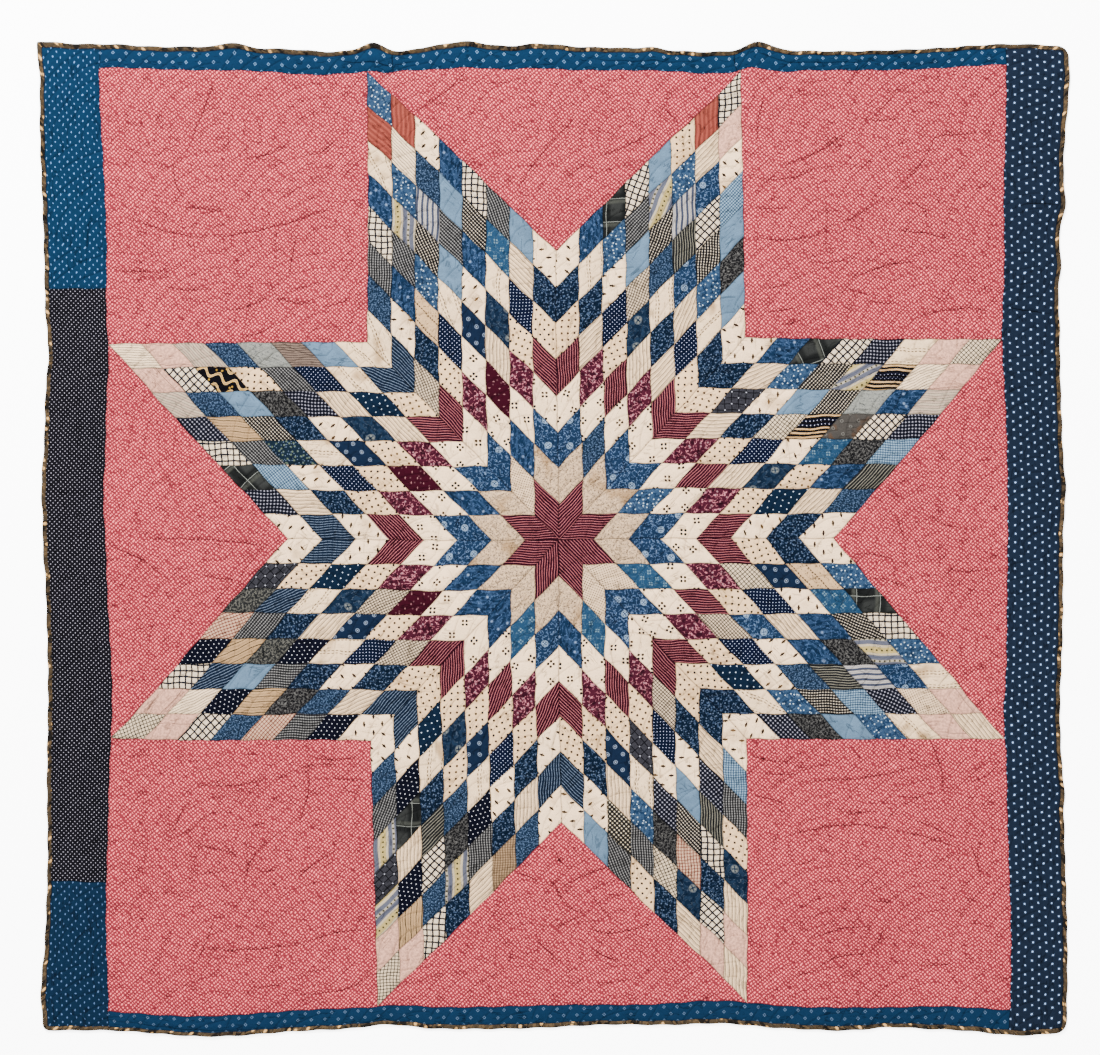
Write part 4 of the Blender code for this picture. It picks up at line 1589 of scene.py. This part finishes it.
@dataclass(frozen=True)
class StarPoint:
    """One of the star's eight points, sewn from eight strips of eight diamonds.

    The chart has a row for each strip, from the one along the second edge down to the one along the first.
    Each entry names a diamond's print and the way that it runs, counted out from the middle of the star.
    """

    name: str
    tip: Place
    notch_before: Place
    notch_after: Place
    chart: tuple[str, ...]
    diamonds: int = 8
    steps: int = 18
    slack: float = 0.02
    shrink: float = -0.0025
    atlas_side: int = 3

    @property
    def corners(self) -> tuple[Place, Place, Place, Place]:
        """The lozenge's corners, counter-clockwise from the middle of the star."""
        return LAYOUT.centre, self.notch_before, self.tip, self.notch_after

    def seam_crossings(self) -> Array:
        """Where the seams cross, each a little off its true place, as shares of the two edges."""
        chance = np.random.default_rng(sum(map(ord, self.name)))
        even = np.arange(self.diamonds + 1) / self.diamonds
        crossings = np.stack(np.meshgrid(even, even, indexing="ij"), -1)
        drift = np.clip(chance.normal(0, self.slack, crossings.shape), -2 * self.slack, 2 * self.slack)
        drift[[0, -1], :, 0] = 0
        drift[:, [0, -1], 1] = 0
        drift[[0, 0, -1, -1], [0, -1, 0, -1]] = 0
        return crossings + drift / self.diamonds

    def strip(self, row: int) -> Cut:
        """Lays out one strip of diamonds.

        Args:
            row: The strip's number, from the point's first edge.

        Returns:
            The strip's face.
        """
        count, steps = self.diamonds, self.steps
        columns = count * steps
        step_u, step_v = np.meshgrid(np.arange(columns + 1), np.arange(steps + 1))
        diamond = np.minimum(step_u // steps, count - 1)
        s = (step_u - diamond * steps) / steps
        t = self.shrink + (1 - 2 * self.shrink) * step_v / steps
        crossings = self.seam_crossings()
        s, t = s[..., None], t[..., None]
        low = (1 - s) * crossings[diamond, row] + s * crossings[diamond + 1, row]
        high = (1 - s) * crossings[diamond, row + 1] + s * crossings[diamond + 1, row + 1]
        shares = (1 - t) * low + t * high
        places = on_quad(self.corners, shares[..., 0], shares[..., 1])
        x, y = places[..., 0].ravel(), places[..., 1].ravel()
        depth = self.diamond_height()
        inside = depth * np.minimum(np.minimum(s, 1 - s), np.minimum(t, 1 - t)).ravel()
        faces = grid_faces(columns, steps)
        slots = np.tile(np.arange(columns) // steps, steps)
        return Cut(
            x,
            y,
            inside,
            faces,
            slots,
            self.print_map(x, y, faces, slots, row),
            self.bake_map(columns, slots),
            grid_rim(columns, steps),
            wall_cell=Cell(2 / 3, 0.97, 1 / 3, 0.03),
            back_cell=Cell(2 / 3, 2 / 3, 1 / 3, 0.29),
        )

    def diamond_height(self) -> float:
        """Distance between two opposite edges of a diamond."""
        return shoelace(self.corners) / math.dist(LAYOUT.centre, self.notch_before) / self.diamonds

    def entry(self, row: int, number: int) -> tuple[Print, Grain]:
        """The print of one diamond and the way that it runs."""
        code = self.chart[self.diamonds - 1 - row].split()[number]
        return PRINTS[code[0]], Grain(code[1])

    def grain_turn(self, grain: Grain) -> float:
        """The direction of a grain, in radians.

        Args:
            grain: Which way the print runs.

        Returns:
            The angle from the X axis.
        """
        first = math.atan2(self.notch_before[1] - LAYOUT.centre[1], self.notch_before[0] - LAYOUT.centre[0])
        second = math.atan2(self.notch_after[1] - LAYOUT.centre[1], self.notch_after[0] - LAYOUT.centre[0])
        if second < first:
            second += math.tau
        return {Grain.FIRST: first, Grain.SECOND: second, Grain.BIAS: (first + second) / 2}[grain]

    def print_map(self, x: Array, y: Array, faces: Array, slots: Array, row: int) -> Array:
        """Places on each diamond's own cloth, turned and shifted as it was cut.

        Args:
            x: Places across the quilt.
            y: Places up the quilt.
            faces: Point numbers of the strip's quads.
            slots: The diamond that each quad belongs to.
            row: The strip's number.

        Returns:
            A place for each corner of each quad.
        """
        chance = np.random.default_rng(1000 + row + sum(map(ord, self.name)))
        corners = np.stack([x[faces], y[faces]], -1)
        mapped = np.empty_like(corners)
        for number in range(self.diamonds):
            turn = self.grain_turn(self.entry(row, number)[1]) + chance.normal(0, 0.025)
            shift = chance.uniform(0, 400, 2)
            chosen = slots == number
            part = corners[chosen]
            along = part[..., 0] * math.cos(turn) + part[..., 1] * math.sin(turn)
            across = part[..., 1] * math.cos(turn) - part[..., 0] * math.sin(turn)
            mapped[chosen] = np.stack([along + shift[0], across + shift[1]], -1)
        return mapped

    def bake_map(self, columns: int, slots: Array) -> Array:
        """Places on the stored map, one box for each diamond.

        Args:
            columns: How many quads the strip has along it.
            slots: The diamond that each quad belongs to.

        Returns:
            A place for each corner of each quad.
        """
        side = self.atlas_side
        number = np.arange(len(slots))
        column, up = number % columns % self.steps, number // columns
        right = np.stack([column, column + 1, column + 1, column], -1) / self.steps
        high = np.stack([up, up, up + 1, up + 1], -1) / self.steps
        mapped = np.empty((len(slots), 4, 2))
        for diamond in range(self.diamonds):
            box = Cell((diamond % side) / side, (diamond // side) / side, 1 / side, 1 / side)
            chosen = slots == diamond
            mapped[chosen] = box.place(right[chosen], high[chosen])
        return mapped

    def build(self, cutter: Cutter) -> None:
        """Sews the point's strips."""
        width = math.dist(LAYOUT.centre, self.notch_before)
        for row in range(self.diamonds):
            prints = [self.entry(row, number)[0] for number in range(self.diamonds)]
            piece = cutter.piece(f"star_{self.name}_strip_{row + 1}", self.strip(row), STAR_LOFT, prints)
            declare(piece, f"star_point_{self.name}", (width, self.diamond_height()))


STAR_POINTS = (
    StarPoint("nnw", tip=(-359, 917), notch_before=(8, 563), notch_after=(-361, 385), chart=(
        "v/ I- h- W- b/ v/ r| P-",
        "S| t- b- h/ V- P| f| r-",
        "q/ F- i| P- g/ Z- I| t|",
        "M| p- D- v/ L- h| L| b-",
        "C- m- C| O- t| b- g| W-",
        "B- C/ 1- s- N| v- T- h/",
        "o/ b- C- m| p/ D| s| L-",
        "M| n- B| C- M| p- F- t-",
    )),
    StarPoint("wnw", tip=(-874, 381), notch_before=(-361, 385), notch_after=(-519, -1), chart=(
        "t- G| X- W| G- u/ a- f|",
        "S| s| l- h- Y| I- W- a|",
        "t| F- t- j| g- L- A/ u-",
        "M- p/ D| v| F| x- p- I-",
        "C| m- p- O| t- G| h- Q/",
        "B- C- 1| p/ N- s- D| e|",
        "n- b- C- m- s- d/ v- L|",
        "M| n| B- C- M| p/ S/ v-",
    )),
    StarPoint("wsw", tip=(-874, -389), notch_before=(-519, -1), notch_after=(-357, -395), chart=(
        "t- K- h- R| I- W| a- w/",
        "S| s/ I| x- Y- K/ f/ a|",
        "p/ F- t| F- h- L- S/ W-",
        "M| q/ D| v- K- y- Y/ K-",
        "C- m| p- O- s| F| h| R/",
        "b- C- 1- q/ N/ v| S/ y|",
        "n- b- C| m- p/ d/ p- J|",
        "M- n- B| C- M| t- S- t|",
    )),
    StarPoint("ssw", tip=(-341, -919), notch_before=(-357, -395), notch_after=(18, -558), chart=(
        "t- I- E| s- F- W| a- w|",
        "S| s| F| h| V| I- Y| a-",
        "t/ F- t- K/ x- W- K- V-",
        "M/ p- D| v| I| k- s| J-",
        "C- m- p/ O- p- F| X| V|",
        "B- C/ M/ p- N| v| K- h/",
        "n| T- C- m| p- d/ t- I|",
        "M| n- b- C- M| p/ S- t-",
    )),
    StarPoint("sse", tip=(378, -919), notch_before=(18, -558), notch_after=(382, -393), chart=(
        "t- l- h- p/ N- s- a- s-",
        "F| s| G| k- W- F- W| a-",
        "p- F| t- L| g| R- N/ s|",
        "M| q| D| t- G| x- w/ F-",
        "C- m- p/ J| v- P- h- p-",
        "B| C- M- p- O- s- H| h/",
        "o/ T- C| m- p- F- t| L-",
        "M| n- b- C- M| p/ S| t-",
    )),
    StarPoint("ese", tip=(890, -393), notch_before=(382, -393), notch_after=(549, 1), chart=(
        "t| P- X| W| P| v| a- s-",
        "F- i- T- g/ V| B- o/ a|",
        "p/ O- t| b| x- Z| G/ v-",
        "M| w- D- s- b- k| l| P-",
        "C- m- p- B| t- I- g| L-",
        "B- C| M| q- D| t- P- x-",
        "n| T| C- m- p/ d- v/ G-",
        "M- o/ B- C/ M| p- F| t/",
    )),
    StarPoint("ene", tip=(890, 389), notch_before=(549, 1), notch_after=(380, 393), chart=(
        "t- b- X/ W| G- v- a/ w|",
        "F- s/ P- g| V/ z- f/ a-",
        "p/ J- t- L- g| Q- b- u-",
        "M- s- F| w| z- U- W| G-",
        "C- m- p- D- t/ T- x| l-",
        "B| C- M| s| N- p/ b- k|",
        "n- P- C| m- p- d/ s| I-",
        "M- n- B- C- M- t/ F- t-",
    )),
    StarPoint("nne", tip=(369, 917), notch_before=(380, 393), notch_after=(8, 563), chart=(
        "t- b| X| W/ L- p- r| W|",
        "F- v| P- h- V/ P| s- a-",
        "p- F- t| L- g/ Z| B- t-",
        "M| s- D| q/ I- k| W- l-",
        "C/ m- p/ N- v| B- g| L-",
        "B- C- M| s| F- s/ P- x-",
        "n- I- C- m- s- D| v- L|",
        "M- n- B| C- M| p- F- t/",
    )),
)


@dataclass(frozen=True)
class CornerSquare:
    """A pink square between two points of the star."""

    name: str
    corners: tuple[Place, Place, Place, Place]
    cell: float = 3.0
    shrink: float = -0.0002

    def build(self, cutter: Cutter) -> None:
        """Cuts and sews in the square."""
        one, two, three, four = self.corners
        width = (math.dist(one, two) + math.dist(three, four)) / 2
        length = (math.dist(two, three) + math.dist(four, one)) / 2
        steps = round(max(width, length) / self.cell)
        share = self.shrink + (1 - 2 * self.shrink) * np.arange(steps + 1) / steps
        u, v = np.meshgrid(share, share)
        places = on_quad(self.corners, u, v)
        x, y = places[..., 0].ravel(), places[..., 1].ravel()
        faces = grid_faces(steps, steps)
        face_box = Cell(0, 0, 0.86, 1)
        cut = Cut(
            x,
            y,
            inside_outline(x, y, self.corners),
            faces,
            np.zeros(len(faces), int),
            np.stack([x[faces], y[faces]], -1),
            face_box.place(u.ravel()[faces], v.ravel()[faces]),
            grid_rim(steps, steps),
            wall_cell=Cell(0.86, 0, 0.14, 0.05),
            back_cell=Cell(0.86, 0.06, 0.14, 0.94),
        )
        piece = cutter.piece(f"ground_square_{self.name}", cut, GROUND_LOFT, [PINK_PRINT])
        declare(piece, f"corner_square_{self.name}", (width, length))


@dataclass(frozen=True)
class SideTriangle:
    """A pink triangle between two points of the star, with its long side first."""

    name: str
    corners: tuple[Place, Place, Place]
    cell: float = 3.0
    shrink: float = -0.0004

    def build(self, cutter: Cutter) -> None:
        """Cuts and sews in the triangle."""
        first, second, third = (np.array(corner, float) for corner in self.corners)
        width = math.dist(first, second)
        height = 2 * shoelace(self.corners) / width
        steps = round(height * math.sqrt(2) / self.cell)
        row_starts = np.cumsum([0, *range(steps + 1, 1, -1)])
        a = np.concatenate([np.arange(steps + 1 - row) for row in range(steps + 1)])
        b = np.concatenate([np.full(steps + 1 - row, row) for row in range(steps + 1)])
        middle = (first + second + third) / 3
        places = first + np.outer(a / steps, second - first) + np.outer(b / steps, third - first)
        places += (middle - places) * self.shrink
        x, y = places[:, 0], places[:, 1]
        faces = self.faces(steps, row_starts)
        shares = np.stack([a, b], -1) / steps
        rim = np.concatenate([
            np.arange(steps),
            row_starts[: steps + 1] + (steps - np.arange(steps + 1)),
            row_starts[steps - 1 : 0 : -1],
        ])
        cut = Cut(
            x,
            y,
            inside_outline(x, y, self.corners),
            faces,
            np.zeros(len(faces), int),
            np.stack([x[faces], y[faces]], -1),
            0.006 + 0.9 * shares[faces],
            rim,
            wall_cell=Cell(0, 0.94, 0.4, 0.05),
            back_cell=Cell(0.62, 0.62, 0.37, 0.37),
        )
        piece = cutter.piece(f"ground_triangle_{self.name}", cut, GROUND_LOFT, [PINK_PRINT])
        declare(piece, f"side_triangle_{self.name}", (width, height))

    def faces(self, steps: int, row_starts: Array) -> Array:
        """Point numbers of the small triangles, row by row.

        Args:
            steps: How many triangles the long side has.
            row_starts: The first point of each row.

        Returns:
            Three numbers for each triangle.
        """
        found = []
        for row in range(steps):
            low = row_starts[row] + np.arange(steps - row)
            high = row_starts[row + 1] + np.arange(steps - row)
            found.append(np.stack([low, low + 1, high], -1))
            found.append(np.stack([low[1:], high[1:], high[:-1]], -1))
        return np.concatenate(found)


@dataclass(frozen=True)
class Border:
    """A border, or one of the lengths that it is joined from."""

    node: str
    slot: str
    print_: Print
    low: Place
    high: Place
    cell: float = 3.6
    gap: float = -0.12
    boxes: int = 5
    map_height: float = 0.84

    def build(self, cutter: Cutter) -> None:
        """Cuts and sews on the border."""
        (left, bottom), (right, top) = self.low, self.high
        wide = right - left > top - bottom
        width, length = sorted((right - left, top - bottom))
        along = max(self.boxes, round(length / self.cell / self.boxes) * self.boxes)
        across = max(4, round(width / self.cell))
        step_u, step_v = np.meshgrid(np.arange(along + 1), np.arange(across + 1))
        run = self.gap + (length - 2 * self.gap) * step_u.ravel() / along
        rise = self.gap + (width - 2 * self.gap) * step_v.ravel() / across
        x, y = (left + run, bottom + rise) if wide else (right - rise, bottom + run)
        corners = ((left, bottom), (right, bottom), (right, top), (left, top))
        faces = grid_faces(along, across)
        cloth = np.stack([run, rise], -1) if wide else np.stack([y, x], -1)
        cut = Cut(
            x,
            y,
            inside_outline(x, y, corners),
            faces,
            np.zeros(len(faces), int),
            cloth[faces],
            self.bake_map(along, across),
            grid_rim(along, across),
            wall_cell=Cell(0, 0.96, 1, 0.04),
            back_cell=Cell(0, self.map_height, 1, 0.11),
        )
        name = f"cloth_{self.node}"
        piece = cutter.piece(name, cut, BORDER_LOFT, [self.print_])
        declare(piece, self.node, (width, length))

    def bake_map(self, along: int, across: int) -> Array:
        """Places on the stored map, with the border's length laid in rows.

        Args:
            along: How many quads it has along it.
            across: How many it has across.

        Returns:
            A place for each corner of each quad.
        """
        number = np.arange(along * across)
        column, up = number % along, number // along
        each = along // self.boxes
        box, part = column // each, column % each
        right = np.stack([part, part + 1, part + 1, part], -1) / each
        high = np.stack([up, up, up + 1, up + 1], -1) / across
        mapped = np.empty((len(number), 4, 2))
        for row in range(self.boxes):
            cell = Cell(0, self.map_height * row / self.boxes, 1, self.map_height / self.boxes)
            chosen = box == row
            mapped[chosen] = cell.place(right[chosen], high[chosen])
        return mapped


@dataclass(frozen=True)
class Binding:
    """A strip folded over the raw edge of one side, mitred where it meets the next."""

    side: str
    outer: tuple[Place, Place]
    inner: tuple[Place, Place]
    step: float = 4.0
    height: float = 4.3
    foot: float = 0.05
    ruck: float = 0.175
    ruck_lengths: tuple[float, ...] = (23, 41, 67, 109)
    boxes: int = 8
    cut_widths: float = 1.8
    girth_widths: float = 2.4
    profile: tuple[tuple[float, float], ...] = (
        (0.02, 0.0),
        (0.35, 0.0),
        (0.7, 0.0),
        (0.93, 0.1),
        (1.0, 0.38),
        (0.96, 0.7),
        (0.82, 0.92),
        (0.55, 1.0),
        (0.28, 0.95),
        (0.08, 0.8),
        (0.0, 0.6),
        (0.0, 0.25),
    )

    def build(self, cutter: Cutter) -> None:
        """Folds the strip over its side.

        The profile has the share of the binding's width from its inner line, and the share of its height.
        """
        outer, inner = np.array(self.outer, float), np.array(self.inner, float)
        length = math.dist(*self.outer)
        stations = round(length / self.step / self.boxes) * self.boxes
        share = np.arange(stations + 1) / stations
        outer_line = outer[0] + share[:, None] * (outer[1] - outer[0])
        inner_line = inner[0] + share[:, None] * (inner[1] - inner[0])
        ring = np.array(self.profile)
        across = ring[:, 0][None, :, None]
        places = inner_line[:, None] + across * (outer_line - inner_line)[:, None]
        run = share * length
        swell = sum(np.sin(math.tau * run / ruck + number) for number, ruck in enumerate(self.ruck_lengths))
        swell = 1 + self.ruck * swell / len(self.ruck_lengths)
        x, y = places[..., 0], places[..., 1]
        fold = cutter.relief.folds(x.ravel(), y.ravel()).reshape(x.shape)
        z = self.foot + ring[:, 1] * (self.height * swell[:, None] + fold)
        self.make(cutter, x, y, z, run, length)

    def make(self, cutter: Cutter, x: Array, y: Array, z: Array, run: Array, length: float) -> None:
        """Makes the strip's mesh from its rings of points.

        Args:
            cutter: What makes meshes on the frame.
            x: Places across the quilt, by ring and point.
            y: Places up the quilt.
            z: Heights above the ground.
            run: How far along the strip each ring is.
            length: The strip's length.
        """
        rings, around = x.shape
        first = (np.arange(rings - 1)[:, None] * around + np.arange(around)).ravel()
        turned = (np.arange(rings - 1)[:, None] * around + np.roll(np.arange(around), -1)).ravel()
        faces = np.stack([first, turned, turned + around, first + around], -1)
        last = (rings - 1) * around
        ends = [list(range(around))[::-1], list(range(last, last + around))]
        mesh = bpy.data.meshes.new(f"binding_strip_{self.side}")
        points = cutter.settled(x.ravel(), y.ravel(), z.ravel())
        mesh.from_pydata(points.tolist(), [], faces.tolist() + ends)
        self.write_maps(mesh, rings, around, run)
        mesh.materials.append(cutter.material(BINDING_PRINT))
        cutter.write_attributes(mesh, x.ravel(), y.ravel(), {"seam": np.full(x.size, LAYOUT.binding_width)})
        mesh.shade_smooth()
        piece = cutter.add(f"binding_strip_{self.side}", mesh)
        turned_width = self.cut_widths * LAYOUT.binding_width
        declare(piece, f"binding_{self.side}", (length, turned_width))

    def write_maps(self, mesh: bpy.types.Mesh, rings: int, around: int, run: Array) -> None:
        """Writes the print's map, and the map that colours are stored on, with the length laid in rows.

        Args:
            mesh: The strip's mesh.
            rings: How many rings of points it has.
            around: How many points a ring has.
            run: How far along the strip each ring is.
        """
        number = np.arange((rings - 1) * around)
        ring, turn = number // around, number % around
        each = (rings - 1) // self.boxes
        box, part = ring // each, ring % each
        up = np.stack([turn, turn + 1, turn + 1, turn], -1)
        along = np.stack([ring, ring, ring + 1, ring + 1], -1)
        right = np.stack([part, part, part + 1, part + 1], -1) / each
        girth = self.girth_widths * LAYOUT.binding_width / around
        cloth = np.stack([run[along], up * girth], -1)
        mapped = np.empty((len(number), 4, 2))
        for row in range(self.boxes):
            cell = Cell(0, 0.96 * row / self.boxes, 1, 0.96 / self.boxes)
            mapped[box == row] = cell.place(right[box == row], up[box == row] / around)
        angle = np.arange(around) / around * math.tau
        disc = np.stack([0.5 + 0.5 * np.cos(angle), 0.5 + 0.5 * np.sin(angle)], -1)
        end_maps = [Cell(left, 0.965, 0.03, 0.03).place(disc[:, 0], disc[:, 1]) for left in (0.1, 0.2)]
        end_cloth = disc * LAYOUT.binding_width
        maps = {"Print": (cloth, end_cloth, end_cloth), "OFBake": (mapped, *end_maps)}
        for name, parts in maps.items():
            corners = np.concatenate([part.reshape(-1, 2) for part in parts])
            mesh.uv_layers.new(name=name).data.foreach_set("uv", corners.astype(np.float32).ravel())


# Quilt


@dataclass
class Quilt:
    """The whole quilt, built in the order in which it is sewn."""

    cutter: Cutter

    def squares(self) -> list[CornerSquare]:
        """The four pink squares."""
        tips = {point.name: point.tip for point in STAR_POINTS}
        after = {point.name: point.notch_after for point in STAR_POINTS}
        return [
            CornerSquare("nw", (tips["wnw"], after["nnw"], tips["nnw"], (LEFT.seam, TOP.seam))),
            CornerSquare("sw", ((LEFT.seam, BOTTOM.seam), tips["ssw"], after["wsw"], tips["wsw"])),
            CornerSquare("se", (tips["sse"], (RIGHT.seam, BOTTOM.seam), tips["ese"], after["sse"])),
            CornerSquare("ne", (after["ene"], tips["ene"], (RIGHT.seam, TOP.seam), tips["nne"])),
        ]

    def triangles(self) -> list[SideTriangle]:
        """The four pink triangles."""
        points = {point.name: point for point in STAR_POINTS}
        pairs = {"n": ("nne", "nnw"), "w": ("wnw", "wsw"), "s": ("ssw", "sse"), "e": ("ese", "ene")}
        return [
            SideTriangle(name, (points[one].tip, points[two].tip, points[two].notch_before))
            for name, (one, two) in pairs.items()
        ]

    def borders(self) -> list[Border]:
        """The borders, with the left one joined from three lengths."""
        low_joint, high_joint = LAYOUT.left_joints
        lengths = {
            "lower": (BOTTOM_INNER, low_joint, "blue_dashed", SHADED_DASHED_PRINT),
            "middle": (low_joint, high_joint, "pin_dotted", PIN_DOTTED_PRINT),
            "upper": (high_joint, TOP_INNER, "blue_dashed", DASHED_PRINT),
        }
        joined = [
            Border(f"border_left_{name}", slot, print_, (LEFT_INNER, low), (LEFT.seam, high))
            for name, (low, high, slot, print_) in lengths.items()
        ]
        top = Border("border_top", "blue_dotted", TOP_PRINT, (LEFT.seam, TOP.seam), (RIGHT.seam, TOP_INNER))
        bottom = Border(
            "border_bottom", "blue_dotted", SHADED_BOTTOM_PRINT, (LEFT.seam, BOTTOM_INNER), (RIGHT.seam, BOTTOM.seam)
        )
        right = Border(
            "border_right",
            "navy_sprigged",
            SPRIGGED_PRINT,
            (RIGHT.seam, BOTTOM_INNER),
            (RIGHT_INNER, TOP_INNER),
        )
        return [top, bottom, right, *joined]

    def bindings(self) -> list[Binding]:
        """The four binding strips, counter-clockwise."""
        rim = {
            "left_bottom": (LEFT.rim, BOTTOM.rim),
            "right_bottom": (RIGHT.rim, BOTTOM.rim),
            "right_top": (RIGHT.rim, TOP.rim),
            "left_top": (LEFT.rim, TOP.rim),
        }
        inner = {
            "left_bottom": (LEFT_INNER, BOTTOM_INNER),
            "right_bottom": (RIGHT_INNER, BOTTOM_INNER),
            "right_top": (RIGHT_INNER, TOP_INNER),
            "left_top": (LEFT_INNER, TOP_INNER),
        }
        runs = {
            "bottom": ("left_bottom", "right_bottom"),
            "right": ("right_bottom", "right_top"),
            "top": ("right_top", "left_top"),
            "left": ("left_top", "left_bottom"),
        }
        return [
            Binding(side, (rim[one], rim[two]), (inner[one], inner[two])) for side, (one, two) in runs.items()
        ]

    def build(self) -> None:
        """Sews the star, sets in the ground, and adds the borders and the binding."""
        for part in (*STAR_POINTS, *self.squares(), *self.triangles(), *self.borders(), *self.bindings()):
            part.build(self.cutter)


@dataclass(frozen=True)
class Studio:
    """A pale floor, soft light and a camera straight above, framed as the photograph is."""

    picture: tuple[int, int] = (1100, 1055)
    middle_px: Place = (552, 538.4)
    mm_per_px: float = 1.96
    lens: float = 90
    sensor: float = 36
    floor_side: float = 14
    floor_drop: float = 0.0006
    floor_tone: float = 0.97
    floor_glow: float = 3.0
    sky: float = 2.6
    key_place: tuple[float, float, float] = (-2.2, 5.0, 4.2)
    key_power: float = 3050
    key_size: float = 1.6
    fill_place: tuple[float, float, float] = (5.0, -5.0, 9.0)
    fill_power: float = 3000
    fill_size: float = 5.0

    def camera(self, middle: Place) -> None:
        """Puts the camera where the quilt fills the picture as in the photograph."""
        width = self.picture[0] * self.mm_per_px * MM
        over = (self.picture[0] / 2 - self.middle_px[0]) * self.mm_per_px - middle[0]
        up = (self.middle_px[1] - self.picture[1] / 2) * self.mm_per_px - middle[1]
        data = bpy.data.cameras.new("camera")
        data.lens, data.sensor_width = self.lens, self.sensor
        camera = bpy.data.objects.new("camera", data)
        camera.location = (over * MM, up * MM, self.lens * width / self.sensor)
        bpy.context.scene.collection.objects.link(camera)
        bpy.context.scene.camera = camera

    def light(self, name: str, place: tuple[float, float, float], power: float, size: float) -> None:
        """Adds a soft light that looks at the quilt.

        Args:
            name: The light's name.
            place: Where it stands, in metres.
            power: Its power in watts.
            size: The side of its square, in metres.
        """
        data = bpy.data.lights.new(name, "AREA")
        data.energy, data.size = power, size
        lamp = bpy.data.objects.new(name, data)
        lamp.location = place
        lamp.rotation_mode = "QUATERNION"
        lamp.rotation_quaternion = (-lamp.location).to_track_quat("-Z", "Y")
        bpy.context.scene.collection.objects.link(lamp)

    def floor(self) -> None:
        """Lays the pale floor just under the quilt."""
        half = self.floor_side / 2
        mesh = bpy.data.meshes.new("floor")
        corners = [(-half, -half), (half, -half), (half, half), (-half, half)]
        mesh.from_pydata([(x, y, -self.floor_drop) for x, y in corners], [], [(0, 1, 2, 3)])
        loom = Loom("floor")
        loom.put(loom.shader.inputs["Base Color"], (self.floor_tone, self.floor_tone, self.floor_tone, 1))
        loom.put(loom.shader.inputs["Roughness"], 0.9)
        loom.put(loom.shader.inputs["Emission Color"], (1, 1, 1, 1))
        loom.put(loom.shader.inputs["Emission Strength"], self.floor_glow)
        mesh.materials.append(loom.material)
        floor = bpy.data.objects.new("floor", mesh)
        bpy.context.scene.collection.objects.link(floor)

    def build(self, middle: Place) -> None:
        """Sets up the floor, the lights and the camera."""
        self.floor()
        self.light("key", self.key_place, self.key_power, self.key_size)
        self.light("fill", self.fill_place, self.fill_power, self.fill_size)
        world = bpy.data.worlds.new("studio")
        world.use_nodes = True
        backdrop = world.node_tree.nodes["Background"]
        backdrop.inputs["Color"].default_value = (1, 1, 1, 1)
        backdrop.inputs["Strength"].default_value = self.sky
        bpy.context.scene.world = world
        self.camera(middle)


def main() -> None:
    """Builds the quilt and the studio."""
    logging.basicConfig(level=logging.INFO)
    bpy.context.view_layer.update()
    cutter = Cutter(LAYOUT, Relief())
    Quilt(cutter).build()
    Studio().build(cutter.middle)


if __name__ == "__main__":
    main()
